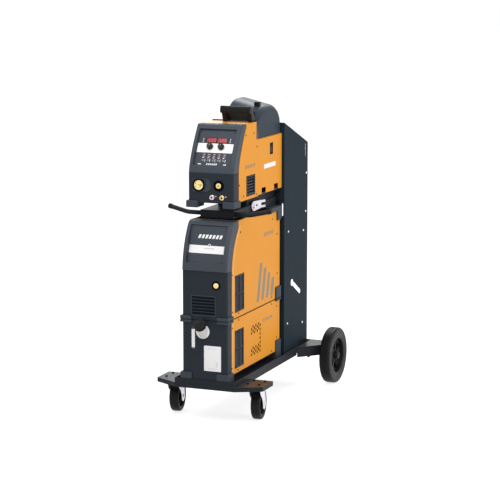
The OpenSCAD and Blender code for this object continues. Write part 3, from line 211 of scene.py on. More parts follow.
def noise(group, scale, detail, stretch=None):
    """A noise on object coordinates. scale is a number or a socket."""
    place = node(group, "ShaderNodeTexCoord").outputs["Object"]
    if stretch:
        place = node(group, "ShaderNodeMapping", {"Vector": place, "Scale": stretch}).outputs["Vector"]
    inputs = {"Detail": detail, "Roughness": NOISE_ROUGHNESS, "Vector": place, "Scale": scale}
    return node(group, "ShaderNodeTexNoise", inputs).outputs["Fac"]


def spread_about(group, mask, middle, spread):
    """mask, from 0 to 1, as a value about middle."""
    centred = math_node(group, "SUBTRACT", mask, 0.5)
    return math_node(group, "ADD", math_node(group, "MULTIPLY", centred, spread), middle)


def shade_by(group, mask, start):
    """The group's colour, lighter and darker by a mask."""
    value = spread_about(group, mask, 1.0, start["Variation"])
    return node(group, "ShaderNodeHueSaturation", {"Value": value, "Color": start["Colour"]}).outputs["Color"]


def tone_group():
    """Slow lightening and darkening of a colour over the surface."""
    group, start, end = shader_group(
        "Tone", [("Colour", "Color", (1, 1, 1, 1)), ("Variation", "Float", 0.1), ("Scale", "Float", 8.0)],
        [("Colour", "Color")],
    )
    feed(group, shade_by(group, noise(group, start["Scale"], 4.0), start), end["Colour"])
    return group


def grain_group():
    """Fine relief of a coat or a moulded skin, with patches that are glossier."""
    group, start, end = shader_group(
        "Grain", [("Scale", "Float", 900.0), ("Roughness", "Float", 0.5), ("Spread", "Float", 0.1)],
        [("Roughness", "Float"), ("Height", "Float")],
    )
    patches = noise(group, 14.0, 5.0)
    feed(group, spread_about(group, patches, start["Roughness"], start["Spread"]), end["Roughness"])
    feed(group, noise(group, start["Scale"], 2.0), end["Height"])
    return group


def brushing_group():
    """Streaks along one direction, as on rolled, brushed or turned metal."""
    group, start, end = shader_group(
        "Brushing",
        [("Stretch", "Vector", (1.0, 1.0, 30.0)), ("Roughness", "Float", 0.3), ("Spread", "Float", 0.2)],
        [("Roughness", "Float"), ("Height", "Float")],
    )
    streaks = noise(group, 40.0, 4.0, start["Stretch"])
    feed(group, spread_about(group, streaks, start["Roughness"], start["Spread"]), end["Roughness"])
    feed(group, streaks, end["Height"])
    return group


def polish_group():
    """Mask of the faces that look up, which shine more."""
    group, start, end = shader_group("Polish", [("Amount", "Float", 1.0)], [("Mask", "Float")])
    normal = node(group, "ShaderNodeNewGeometry").outputs["Normal"]
    up = node(group, "ShaderNodeSeparateXYZ", {0: normal}).outputs["Z"]
    level = math_node(group, "POWER", math_node(group, "MAXIMUM", up, 0.0), 4.0)
    feed(group, math_node(group, "MULTIPLY", level, start["Amount"]), end["Mask"])
    return group


def spangle_group():
    """Crystal patches of a zinc coat, each a little lighter or darker."""
    group, start, end = shader_group(
        "Spangle", [("Colour", "Color", (1, 1, 1, 1)), ("Scale", "Float", 90.0), ("Variation", "Float", 0.12)],
        [("Colour", "Color"), ("Mask", "Float")],
    )
    place = node(group, "ShaderNodeTexCoord").outputs["Object"]
    cells = node(group, "ShaderNodeTexVoronoi", {"Vector": place, "Scale": start["Scale"]}).outputs["Color"]
    grey = node(group, "ShaderNodeRGBToBW", {0: cells}).outputs[0]
    feed(group, shade_by(group, grey, start), end["Colour"])
    feed(group, grey, end["Mask"])
    return group


GROUP_MAKERS = {
    "Tone": tone_group, "Grain": grain_group, "Brushing": brushing_group, "Spangle": spangle_group,
    "Polish": polish_group,
}


def place_group(tree, name, **values):
    """The outputs of a group in a material, with its own values."""
    group = bpy.data.node_groups.get(name) or GROUP_MAKERS[name]()
    return node(tree, "ShaderNodeGroup", values, node_tree=group).outputs


# ---------- Materials ----------
def start_material(name, constants):
    """A material with its shader, and the constants that hold all over the surface."""
    material = bpy.data.materials.new(name)
    material.use_nodes = True
    tree = material.node_tree
    shader = tree.nodes["Principled BSDF"].inputs
    for label, value in constants.items():
        shader[label.replace("_", " ")].default_value = value
    return material, tree, shader


def add_skin(tree, shader, colour, roughness, height, relief):
    """Feeds the shader its colour, its roughness and a height as relief of that many millimetres."""
    feed(tree, colour, shader["Base Color"])
    feed(tree, roughness, shader["Roughness"])
    bump = node(tree, "ShaderNodeBump", {"Distance": relief * MM, "Strength": 1.0, "Height": height})
    feed(tree, bump.outputs["Normal"], shader["Normal"])


def coated(name, colour, rough=0.45, spread=0.1, variation=0.08, tone=7.0, grain=900.0, relief=0.04,
           shine=None, polish=0.0, **constants):
    """A coloured surface with grain: powder coat, moulded plastic, rubber or printed film."""
    if shine is not None:
        constants["Specular_IOR_Level"] = shine
    material, tree, shader = start_material(name, constants)
    if polish:
        feed(tree, place_group(tree, "Polish", Amount=polish)["Mask"], shader["Coat Weight"])
    tones = place_group(tree, "Tone", Colour=(*colour, 1), Variation=variation, Scale=tone)
    skin = place_group(tree, "Grain", Scale=grain, Roughness=rough, Spread=spread)
    add_skin(tree, shader, tones["Colour"], skin["Roughness"], skin["Height"], relief)
    return material


def bare_metal(name, colour, rough=0.3, spread=0.2, stretch=(1.0, 1.0, 30.0), relief=0.01):
    """Rolled, brushed or turned metal with streaks."""
    material, tree, shader = start_material(name, {"Metallic": 1.0})
    tones = place_group(tree, "Tone", Colour=(*colour, 1), Variation=0.12, Scale=12.0)
    streaks = place_group(tree, "Brushing", Stretch=stretch, Roughness=rough, Spread=spread)
    add_skin(tree, shader, tones["Colour"], streaks["Roughness"], streaks["Height"], relief)
    return material


def zinc_plate(name, colour):
    """Bright plating with faint crystal patches."""
    material, tree, shader = start_material(name, {"Metallic": 0.85})
    patches = place_group(tree, "Spangle", Colour=(*colour, 1), Scale=140.0, Variation=0.16)
    skin = place_group(tree, "Grain", Scale=500.0, Roughness=0.34, Spread=0.2)
    add_skin(tree, shader, patches["Colour"], skin["Roughness"], patches["Mask"], 0.01)
    return material


def lamp(name, colour, glow):
    """A lit digit or lamp behind a clear skin."""
    return coated(name, colour, rough=0.25, spread=0.05, grain=700.0, relief=0.01,
                  Emission_Color=(*colour, 1), Emission_Strength=glow, Coat_Weight=0.3)


def finish(name):
    """The material of that name, made when it is first asked for."""
    title = "welder " + name
    maker, colour, values = FINISHES[name]
    colour = linear(colour) if colour.startswith("#") else getattr(colours(), colour)
    return bpy.data.materials.get(title) or maker(title, colour, **values)


# Maker, colour (a name from the settings or a code) and what differs from the maker's own values
FINISHES = {
    "orange": (coated, "orange", dict(rough=0.42, spread=0.12, variation=0.07, tone=4.0, grain=420.0,
                                      relief=0.05, polish=1.0, shine=0.1, Coat_IOR=1.9, Coat_Roughness=0.3)),
    # Painted highlight: a paler orange strip that stands for light caught on the sheets' front bend
    "orange edge": (coated, "#e8a65c", dict(rough=0.42, variation=0.07, grain=420.0, shine=0.1)),
    "gusset": (coated, "#5d5048", dict(rough=0.5, variation=0.12, grain=600.0, shine=0.1)),
    # Dark film along the joints, wider than the gaps: partly the joint, partly painted gap shadow
    "seam": (coated, "#4a2412", dict(rough=0.55, variation=0.2, grain=420.0, relief=0.03, shine=0.1)),
    "front": (coated, "front", dict(rough=0.5, variation=0.14, grain=1500.0, shine=0.12)),
    "bezel": (coated, "bezel", dict(rough=0.46, variation=0.12, grain=1500.0, shine=0.15)),
    "torch plate": (coated, "#3a4047", dict(rough=0.5, variation=0.12, grain=1500.0, shine=0.12)),
    "hood": (coated, "hood", dict(rough=0.42, variation=0.16, relief=0.06, polish=0.2, shine=0.06,
                                  Coat_Roughness=0.2)),
    "corner": (coated, "corner", dict(rough=0.55, variation=0.14, grain=1100.0, relief=0.06, shine=0.15)),
    "column": (coated, "column", dict(rough=0.5, variation=0.14, tone=3.0, grain=600.0, relief=0.05,
                                      shine=0.02)),
    "cart": (coated, "cart", dict(rough=0.46, variation=0.16, tone=5.0, grain=600.0, relief=0.05, polish=0.6,
                                  shine=0.08, Coat_Roughness=0.3)),
    "black": (coated, "black", dict(rough=0.42, variation=0.2, grain=1300.0, relief=0.03, shine=0.15)),
    "gloss": (coated, "black", dict(rough=0.3, spread=0.06, variation=0.1, relief=0.01, shine=0.3)),
    # Deep black of the socket rings, also used for sheets of painted shade where there is only shade
    "void": (coated, "#0c0d0f", dict(rough=0.8, variation=0.1, grain=300.0, relief=0.05, shine=0.0)),
    "rubber": (coated, "rubber", dict(spread=0.14, variation=0.3, grain=650.0, relief=0.09, shine=0.16)),
    "white film": (coated, "white", dict(rough=0.35, variation=0.03, tone=20.0, grain=1200.0, relief=0.01)),
    "tank": (coated, "white", dict(rough=0.38, variation=0.05, grain=800.0, relief=0.02, Subsurface_Weight=0.12,
                                   Subsurface_Scale=0.004)),
    "emblem": (coated, "emblem", dict(relief=0.02)),
    "mark": (coated, "#c9b3bb", dict(variation=0.1, relief=0.01)),
    "rose": (coated, "#e2b3a2", dict(variation=0.1, relief=0.01)),
    "line": (coated, "#b9bcc0", dict(variation=0.06, relief=0.01)),
    "board": (coated, "#1f5a3a", dict(rough=0.4, variation=0.2, grain=300.0, relief=0.03)),
    "button": (coated, "#6d727a", dict(rough=0.5, variation=0.1, grain=1300.0, relief=0.03)),
    "window": (lamp, "#7a1a26", dict(glow=0.12)),
    "digit": (lamp, "red", dict(glow=0.5)),
    "red lamp": (lamp, "#8c1c28", dict(glow=0.1)),
    "steel": (bare_metal, "steel", dict(rough=0.4)),
    "turned steel": (bare_metal, "steel", dict(rough=0.26, stretch=(30.0, 1.0, 1.0))),
    "nickel": (bare_metal, "#eadfdc", dict(rough=0.3, stretch=(20.0, 2.0, 2.0), relief=0.008)),
    "black steel": (bare_metal, "#2c2d31", dict(rough=0.46, spread=0.15)),
    "cast": (bare_metal, "#8d9298", dict(rough=0.5, stretch=(6.0, 6.0, 6.0), relief=0.06)),
    "aluminium": (bare_metal, "#c3c7cc", dict(rough=0.36, stretch=(1.0, 30.0, 1.0))),
    "zinc": (zinc_plate, "zinc", dict()),
    "brass": (bare_metal, "brass", dict(rough=0.28, spread=0.14, stretch=(20.0, 2.0, 2.0), relief=0.008)),
    "copper": (bare_metal, "copper", dict(rough=0.3, stretch=(4.0, 4.0, 4.0), relief=0.006)),
}


# ---------- Outlines ----------
def arc(centre, radius, start, stop, steps):
    """Points on an arc, angles in degrees."""
    turn = [math.radians(start + (stop - start) * i / steps) for i in range(steps + 1)]
    return [(centre[0] + radius * math.cos(a), centre[1] + radius * math.sin(a)) for a in turn]


def soft_rect(x0, x1, y0, y1, radius, steps=5):
    """Rectangle with rounded corners, counter-clockwise."""
    centres = [(x1 - radius, y1 - radius), (x0 + radius, y1 - radius), (x0 + radius, y0 + radius),
               (x1 - radius, y0 + radius)]
    points = []
    for i, centre in enumerate(centres):
        points += arc(centre, radius, 90 * i, 90 * i + 90, steps)
    return points


def slot_outline(x0, x1, width, steps=8):
    """Slot with round ends along the first axis, about the second axis' zero."""
    r = width / 2
    return arc((x1 - r, 0), r, -90, 90, steps) + arc((x0 + r, 0), r, 90, 270, steps)


def both_ways(half, between=()):
    """Profile of (radius, height) whose second half mirrors the first."""
    return [*half, *between, *((r, -h) for r, h in reversed(half))]


def circle(radius, steps):
    return arc((0, 0), radius, 0, 360 - 360 / steps, steps - 1)


def slanted(x0, x1, y0, y1, lean):
    """Parallelogram whose top is shifted by lean."""
    return [(x0, y0), (x1, y0), (x1 + lean, y1), (x0 + lean, y1)]


def inset(outline, distance):
    """Counter-clockwise outline moved inwards by that distance."""
    moved = []
    count = len(outline)
    for i in range(count):
        a, b, c = (Vector(outline[(i + k) % count]) for k in (-1, 0, 1))
        first, second = (b - a).normalized(), (c - b).normalized()
        n, m = Vector((-first.y, first.x)), Vector((-second.y, second.x))
        moved.append(tuple(b + (n + m) * distance / max(0.2, 1 + n.dot(m))))
    return moved


# ---------- Places ----------
def at(x, y, z):
    return Matrix.Translation((x, y, z))


def facing(x, y, z, direction):
    """Place whose third axis points along direction, with its second axis upwards where it can be."""
    w = Vector(direction).normalized()
    u = Vector((0, 0, 1)).cross(w)
    u = Vector((1, 0, 0)) if u.length < 1e-6 else u.normalized()
    v = w.cross(u)
    place = Matrix((u, v, w)).transposed().to_4x4()
    place.translation = (x, y, z)
    return place


def turned(degrees):
    """A turn about the third axis."""
    return Matrix.Rotation(math.radians(degrees), 4, "Z")


def sideways(half, side):
    """Place on the left (-1) or right (1) side sheet."""
    return facing(side * half, 0, 0, (side, 0, 0))


def leaning(bottom, top):
    """Place on a leaning panel: x across, y up along it, z outwards. bottom and top are (Y, Z)."""
    up = Vector((0, top[0] - bottom[0], top[1] - bottom[1])).normalized()
    out = Vector((1, 0, 0)).cross(up)
    place = Matrix(((1, 0, 0), up, out)).transposed().to_4x4()
    place.translation = (0, *bottom)
    return place


RIGHT, FRONT = (1, 0, 0), (0, -1, 0)
SIDES = (("left", -1), ("right", 1))
# Extrudes an outline in (Y, Z) along +X
ACROSS = Matrix(((0, 0, 1, 0), (1, 0, 0, 0), (0, 1, 0, 0), (0, 0, 0, 1)))


# ---------- Forms ----------
# Faces that meet at a sharper angle than this have a crease, in degrees
CREASE = 32.0


def link(name, data):
    """A new object in the scene."""
    made = bpy.data.objects.new(name, data)
    bpy.context.scene.collection.objects.link(made)
    return made


def smooth(mesh, angle=CREASE):
    """Smooth shade with creases."""
    mesh.shade_smooth()
    mesh.set_sharp_from_angle(angle=math.radians(angle))


def to_row(x, y, z):
    """A point in machine millimetres as metres in the row frame."""
    return x * MM, y * MM + ZERO_Y, z * MM


class Form:
    """Closed forms gathered into one piece, in machine millimetres."""

    def __init__(self):
        self.points = []
        self.faces = []
        self.finishes = []

    def add(self, points, faces, finish=0, place=None):
        """Adds one closed form, merged, with its faces turned outwards."""
        place = place or Matrix()
        shape = bmesh.new()
        corners = [shape.verts.new(place @ Vector(p)) for p in points]
        for face in faces:
            ring = [corners[i] for i in face]
            if len(set(ring)) > 2:
                shape.faces.new(ring)
        bmesh.ops.remove_doubles(shape, verts=shape.verts, dist=0.0005)
        bmesh.ops.dissolve_degenerate(shape, edges=shape.edges, dist=0.0002)
        bmesh.ops.recalc_face_normals(shape, faces=shape.faces)
        shape.verts.index_update()
        start = len(self.points)
        self.points += [v.co.copy() for v in shape.verts]
        self.faces += [[start + v.index for v in f.verts] for f in shape.faces]
        self.finishes += [finish] * len(shape.faces)
        shape.free()

    def loft(self, rings, finish=0, place=None, around=False):
        """Skin over rings of equal length; around closes the last ring to the first."""
        n = len(rings[0])
        points = [p for ring in rings for p in ring]
        rows = len(rings) if around else len(rings) - 1
        faces = []
        for i in range(rows):
            a, b = i * n, (i + 1) % len(rings) * n
            faces += [(a + j, a + (j + 1) % n, b + (j + 1) % n, b + j) for j in range(n)]
        if not around:
            faces += [tuple(reversed(range(n))), tuple(range(len(points) - n, len(points)))]
        self.add(points, faces, finish, place)

    def prism(self, outline, low, high, finish=0, place=None, edge=0.0, low_edge=None, steps=3):
        """Outline extruded along its third axis, with its rims rounded inwards."""
        low_edge = edge if low_edge is None else low_edge
        rings = []
        for radius, rim, sign in ((low_edge, low, 1), (edge, high, -1)):
            turns = [90 * i / steps for i in range(steps + 1)] if radius else [90]
            for angle in turns if sign > 0 else reversed(turns):
                a = math.radians(angle)
                shrink, rise = radius * (1 - math.sin(a)), radius * (1 - math.cos(a))
                ring = inset(outline, shrink) if shrink > 1e-6 else outline
                rings.append([(*p, rim + sign * rise) for p in ring])
        self.loft(rings, finish, place)

    def block(self, low, high, finish=0, edge=1.0, place=None):
        """Box with rounded edges, from two corners."""
        outline = soft_rect(low[0], high[0], low[1], high[1], max(edge, 0.01), 3)
        self.prism(outline, low[2], high[2], finish, place, edge)

    def revolve(self, profile, finish=0, place=None, steps=48, closed=False):
        """Profile of (radius, height) points turned about the third axis."""
        rings = []
        for i in range(steps):
            c, s = math.cos(2 * math.pi * i / steps), math.sin(2 * math.pi * i / steps)
            rings.append([(r * c, r * s, h) for r, h in profile])
        n = len(profile)
        points = [p for ring in rings for p in ring]
        faces = []
        for i in range(steps):
            a, b = i * n, (i + 1) % steps * n
            for j in range(n if closed else n - 1):
                k = (j + 1) % n
                faces.append((a + j, b + j, b + k, a + k))
        self.add(points, faces, finish, place)

    def tube(self, path, radius, sides=20):
        """Round bar along a path, closed at both ends. radius is a number or one for each point."""
        path = [Vector(p) for p in path]
        radii = radius if isinstance(radius, (list, tuple)) else [radius] * len(path)
        heading = (path[1] - path[0]).normalized()
        side = heading.orthogonal().normalized()
        rings = []
        for i, point in enumerate(path):
            ahead = (path[min(i + 1, len(path) - 1)] - path[max(i - 1, 0)]).normalized()
            side = (side - ahead * side.dot(ahead)).normalized()
            other = ahead.cross(side)
            turn = [2 * math.pi * j / sides for j in range(sides)]
            rings.append([point + (side * math.cos(a) + other * math.sin(a)) * radii[i] for a in turn])
        self.loft(rings)

    def bolt(self, place, across, height, washer):
        """Hexagon head on its washer, rising along the place's third axis."""
        radius, thick, rim, chamfer = washer / 2, 1.6, 0.3, 0.9
        disc = [(0, 0), (radius, 0), (radius, thick - rim), (radius - rim, thick), (0, thick)]
        self.revolve(disc, 0, place, 24)
        hexagon = circle(across / math.sqrt(3), 6)
        rings = [[(*p, thick) for p in hexagon], [(*p, height - chamfer) for p in hexagon],
                 [(*p, height) for p in inset(hexagon, chamfer)]]
        self.loft(rings, 0, place)

    def piece(self, name, *finishes, angle=CREASE):
        """The gathered forms as one object, in the row frame."""
        mesh = bpy.data.meshes.new(name)
        mesh.from_pydata([to_row(*p) for p in self.points], [], self.faces)
        mesh.polygons.foreach_set("material_index", self.finishes)
        for title in finishes:
            mesh.materials.append(finish(title))
        smooth(mesh, angle)
        return link(name, mesh)


def bake_modifiers(made):
    """Makes an object's modifiers part of its mesh."""
    graph = bpy.context.evaluated_depsgraph_get()
    mesh = bpy.data.meshes.new_from_object(
        made.evaluated_get(graph), preserve_all_data_layers=True, depsgraph=graph
    )
    made.modifiers.clear()
    made.data = mesh


def soften(made, radius, segments=2, angle=35.0):
    """Rounds an object's sharp edges, and keeps its flat faces flat in shade."""
    bevel = made.modifiers.new("edges", "BEVEL")
    bevel.width = radius * MM
    bevel.segments = segments
    bevel.limit_method = "ANGLE"
    bevel.angle_limit = math.radians(angle)
    bevel.use_clamp_overlap = False
    made.modifiers.new("shade", "WEIGHTED_NORMAL").keep_sharp = True
    bake_modifiers(made)


def settle(made, body, slot=None, *nodes):
    """Puts a finished piece on its body and hides the nodes that it stands for. The slot is not used."""
    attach(made, body)
    if nodes:
        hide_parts(*nodes)


# Distance at which a CAD mesh's points merge, in metres, and the angle below which faces join, in degrees
MERGE_CAD = 0.000004
FLAT = 0.4


def slot_of(name):
    """The material slot that the record gives a CAD node."""
    for entry in frame["record"]["materials"]:
        if name in entry.get("nodes", []):
            return entry["slot"]
    return None


def copy_of(cad, finishes, pick=None):
    """A merged copy of a CAD node's mesh. pick(centre, normal) chooses a finish for a face."""
    name = cad + "_finished"
    mesh = frame["nodes"][cad].data.copy()
    mesh.name = name
    mesh.materials.clear()
    for title in finishes:
        mesh.materials.append(finish(title))
    shape = bmesh.new()
    shape.from_mesh(mesh)
    bmesh.ops.remove_doubles(shape, verts=shape.verts, dist=MERGE_CAD)
    bmesh.ops.dissolve_limit(
        shape, angle_limit=math.radians(FLAT), verts=shape.verts, edges=shape.edges, delimit={"NORMAL"}
    )
    for face in shape.faces:
        face.smooth = True
        centre = face.calc_center_median()
        place = Vector((centre.x, centre.y - ZERO_Y, centre.z)) / MM
        face.material_index = pick(place, face.normal) if pick else 0
    shape.to_mesh(mesh)
    shape.free()
    mesh.set_sharp_from_angle(angle=math.radians(CREASE))
    return link(name, mesh)


def machined(cad, finishes, radius, segments=2, pick=None):
    """A CAD node's own shape with rounded edges, standing for the node."""
    made = copy_of(cad, finishes, pick)
    soften(made, radius, segments)
    settle(made, frame["nodes"][cad]["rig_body"], slot_of(cad), cad)


def cut(made, cutter):
    """Cuts one object with another, which is then gone."""
    change = made.modifiers.new("cut", "BOOLEAN")
    change.operation = "DIFFERENCE"
    change.object = cutter
    change.solver = "EXACT"
    bake_modifiers(made)
    bpy.data.objects.remove(cutter)


# ---------- Geometry node trees ----------
def node_tree(name, inputs):
    """An empty geometry tree with named inputs, and its end nodes."""
    tree = bpy.data.node_groups.new(name, "GeometryNodeTree")
    tree.interface.new_socket(name="Geometry", in_out="INPUT", socket_type="NodeSocketGeometry")
    for label, kind in inputs + [("Finish", "Material")]:
        tree.interface.new_socket(name=label, in_out="INPUT", socket_type="NodeSocket" + kind)
    tree.interface.new_socket(name="Geometry", in_out="OUTPUT", socket_type="NodeSocketGeometry")
    return tree, node(tree, "NodeGroupInput").outputs


def end_tree(tree, start, geometry):
    """Realizes the instances, sets the finish and joins the output."""
    real = node(tree, "GeometryNodeRealizeInstances", {0: geometry}).outputs[0]
    paint = node(tree, "GeometryNodeSetMaterial", {"Geometry": real, "Material": start["Finish"]})
    node(tree, "NodeGroupOutput", {0: paint.outputs[0]})
    return tree


def instances(tree, start, points, **turn):
    """The input Form on points."""
    source = node(tree, "GeometryNodeObjectInfo", {"Object": start["Form"]}).outputs["Geometry"]
    return node(tree, "GeometryNodeInstanceOnPoints", {"Points": points, "Instance": source, **turn}).outputs[0]


def studs_tree():
    """A form on each vertex, turned to the vertex' own facing."""
    tree, start = node_tree("Studs", [("Form", "Object"), ("Scale", "Float")])
    heading = node(tree, "GeometryNodeInputNamedAttribute", {"Name": "facing"}, data_type="FLOAT_VECTOR")
    turn = node(tree, "FunctionNodeAlignRotationToVector", {"Vector": heading.outputs["Attribute"]}, axis="Z")
    made = instances(tree, start, start["Geometry"], Rotation=turn.outputs["Rotation"], Scale=start["Scale"])
    return end_tree(tree, start, made)


def row_tree():
    """A form repeated along a line at a fixed step."""
    tree, start = node_tree("Row", [("Form", "Object"), ("Count", "Int"), ("Step", "Vector")])
    line = node(tree, "GeometryNodeMeshLine", {"Count": start["Count"], "Offset": start["Step"]}, mode="OFFSET")
    return end_tree(tree, start, instances(tree, start, line.outputs[0]))


def ring_tree():
    """A form repeated round the third axis."""
    tree, start = node_tree("Ring", [("Form", "Object"), ("Count", "Int")])
    line = node(tree, "GeometryNodeMeshLine", {"Offset": (0, 0, 0), "Count": start["Count"]}, mode="OFFSET")
    share = math_node(tree, "DIVIDE", 2 * math.pi, start["Count"])
    angle = math_node(tree, "MULTIPLY", node(tree, "GeometryNodeInputIndex").outputs[0], share)
    euler = node(tree, "ShaderNodeCombineXYZ", {"Z": angle}).outputs[0]
    turn = node(tree, "FunctionNodeEulerToRotation", {0: euler}).outputs[0]
    return end_tree(tree, start, instances(tree, start, line.outputs[0], Rotation=turn))


def winding_tree():
    """One layer of wire wound round the third axis."""
    tree, start = node_tree(
        "Winding", [("Radius", "Float"), ("Width", "Float"), ("Turns", "Float"), ("Wire Radius", "Float")]
    )
    spiral = node(tree, "GeometryNodeCurveSpiral", {
        "Resolution": 36, "Start Radius": start["Radius"], "End Radius": start["Radius"],
        "Height": start["Width"], "Rotations": start["Turns"],
    })
    section = node(tree, "GeometryNodeCurvePrimitiveCircle", {"Resolution": 6, "Radius": start["Wire Radius"]})
    sweep = node(tree, "GeometryNodeCurveToMesh", {
        "Fill Caps": True, "Curve": spiral.outputs[0], "Profile Curve": section.outputs[0],
    })
    return end_tree(tree, start, sweep.outputs[0])


TREES = {"Studs": studs_tree, "Row": row_tree, "Ring": ring_tree, "Winding": winding_tree}


def grow(name, tree_name, title, place=None, points=None, form=None, **values):
    """A piece grown by a geometry tree. form is a Form about zero; points are (place, direction) pairs."""
    mesh = bpy.data.meshes.new(name)
    if points:
        mesh.from_pydata([to_row(*p) for p, _ in points], [], [])
        directions = mesh.attributes.new("facing", "FLOAT_VECTOR", "POINT")
        directions.data.foreach_set("vector", [c for _, d in points for c in d])
    made = link(name, mesh)
    if form:
        values["Form"] = form.piece(name + "_form", title)
        values["Form"].data.transform(at(0, -ZERO_Y, 0))
    values["Finish"] = finish(title)
    change = made.modifiers.new("grow", "NODES")
    change.node_group = bpy.data.node_groups.get(tree_name) or TREES[tree_name]()
    for item in change.node_group.interface.items_tree:
        if item.in_out == "INPUT" and item.name in values:
            change[item.identifier] = values[item.name]
    bake_modifiers(made)
    if form:
        bpy.data.objects.remove(values["Form"])
    if place:
        shift = at(0, ZERO_Y, 0) @ Matrix.Scale(MM, 4) @ place @ Matrix.Scale(1 / MM, 4)
        made.data.transform(shift)
    smooth(made.data)
    return made


# ---------- Stage ----------
# Light that the floor gives to the camera, and the floor's half side
FLOOR_GLOW = 0.76
FLOOR_REACH = 40.0
STAGE_CENTRE = (0, 0, 0.8)
FRAME_PIXELS = 500


def seen_rays(tree):
    """Mask of the rays that the camera sees straight, in a reflection or through something."""
    rays = node(tree, "ShaderNodeLightPath").outputs
    seen = math_node(tree, "MAXIMUM", rays["Is Camera Ray"], rays["Is Glossy Ray"])
    return math_node(tree, "MAXIMUM", seen, rays["Is Transmission Ray"])


def backdrop_material():
    """Pale floor that shows white to the camera and in reflections, and keeps the shadow."""
    constants = {"Base_Color": (0.5, 0.5, 0.5, 1), "Roughness": 0.9, "Specular_IOR_Level": 0.0,
                 "Emission_Color": (1, 1, 1, 1)}
    material, tree, shader = start_material("studio floor", constants)
    feed(tree, math_node(tree, "MULTIPLY", seen_rays(tree), FLOOR_GLOW), shader["Emission Strength"])
    return material


def white_room(strength):
    """World that lights evenly, and shows white to the camera and in reflections."""
    world = bpy.data.worlds.new("studio")
    bpy.context.scene.world = world
    world.use_nodes = True
    tree = world.node_tree
    background = tree.nodes["Background"].inputs
    background["Color"].default_value = (1, 1, 1, 1)
    mix = math_node(tree, "MULTIPLY", seen_rays(tree), 1 - strength)
    feed(tree, math_node(tree, "ADD", mix, strength), background["Strength"])


def area_lamp(name, place, size, power):
    """Soft rectangular lamp that points at the stage's centre, in metres."""
    data = bpy.data.lights.new(name, "AREA")
    data.shape = "RECTANGLE"
    data.size, data.size_y = size
    data.energy = power
    made = link(name, data)
    made.location = place
    made.rotation_mode = "QUATERNION"
    made.rotation_quaternion = (Vector(STAGE_CENTRE) - Vector(place)).to_track_quat("-Z", "Y")


class WELDER_OT_stage(bpy.types.Operator):
    """Make the camera, the lamps, the room and the floor"""

    bl_idname = "welder.stage"
    bl_label = "Stage"

    def execute(self, context):
        settings = context.scene.welder_stage
        context.scene.view_settings.view_transform = "Standard"
        self.camera(context, settings)
        white_room(settings.sky)
        area_lamp("key", (0.3, -2.2, 3.6), (3.0, 3.0), settings.key)
        area_lamp("side", (4.6, 0.6, 2.0), (2.4, 3.0), settings.side)
        area_lamp("rim", (-0.8, 3.2, 3.9), (3.0, 2.0), settings.rim)
        mesh = bpy.data.meshes.new("floor")
        corners = [(x * FLOOR_REACH, y * FLOOR_REACH, 0) for x, y in ((-1, -1), (1, -1), (1, 1), (-1, 1))]
        mesh.from_pydata(corners, [], [(0, 1, 2, 3)])
        mesh.materials.append(backdrop_material())
        link("floor", mesh)
        return {"FINISHED"}

    def camera(self, context, settings):
        """Camera that sees the machine's zero point at its pixel."""
        turn, lift = settings.azimuth, settings.elevation
        right = Vector((math.cos(turn), math.sin(turn), 0))
        back = Vector((math.sin(turn) * math.cos(lift), -math.cos(turn) * math.cos(lift), math.sin(lift)))
        up = back.cross(right)
        data = bpy.data.cameras.new("camera")
        data.lens = settings.lens
        data.clip_end = 200
        focal_pixels = data.lens / data.sensor_width * FRAME_PIXELS
        metres = settings.distance / focal_pixels
        across, down = ((p - FRAME_PIXELS / 2) * metres for p in settings.zero_pixel)
        place = Matrix((right, up, back)).transposed().to_4x4()
        place.translation = Vector((0, ZERO_Y, 0)) - right * across + up * down + back * settings.distance
        made = link("camera", data)
        made.matrix_world = place
        context.scene.camera = made


# ---------- Cart ----------
class WELDER_OT_cart_frame(bpy.types.Operator):
    """Finish the tray, the crossbars, the shelf and the axle"""

    bl_idname = "welder.cart_frame"
    bl_label = "Cart frame"

    def execute(self, context):
        for name in ("tray", "front_crossbar", "rear_crossbar", "shelf"):
            machined(name, ["cart"], 0.9)
        machined("rear_axle", ["turned steel"], 1.0)
        return {"FINISHED"}


class WELDER_OT_column(bpy.types.Operator):
    """Finish the bottle column"""

    bl_idname = "welder.column"
    bl_label = "Bottle column"

    def execute(self, context):
        machined("column", ["column"], 0.9)
        self.studs()
        return {"FINISHED"}

    def studs(self):
        """Plated rivet heads in the round holes of both side sheets."""
        low, high = box_of("column")
        form = Form()
        form.revolve([(0, -1.8), (4.8, -1.8), (4.8, 0), (6.2, 0), (6.0, 0.9), (5.0, 1.9), (3.2, 2.7), (0, 3.0)],
                     0, None, 20)
        spots = ((330, high.z - 302), (322, high.z - 511), (289, high.z - 612), (61, high.z - 587),
                 (278, low.z + 132), (49, low.z + 168))
        points = [((side * high.x, low.y + y, z), (side, 0, 0)) for y, z in spots for side in (-1, 1)]
        settle(grow("column_studs", "Studs", "zinc", points=points, form=form, Scale=1.0), "cart", "zinc")


# The cable rest's tube, where it bends, and the angles of its bent ends
REST_RADIUS = 12.0
REST_BEND_X = 169.0
REST_BEND_ANGLE = math.radians(14)
REST_TURN = math.radians(62)


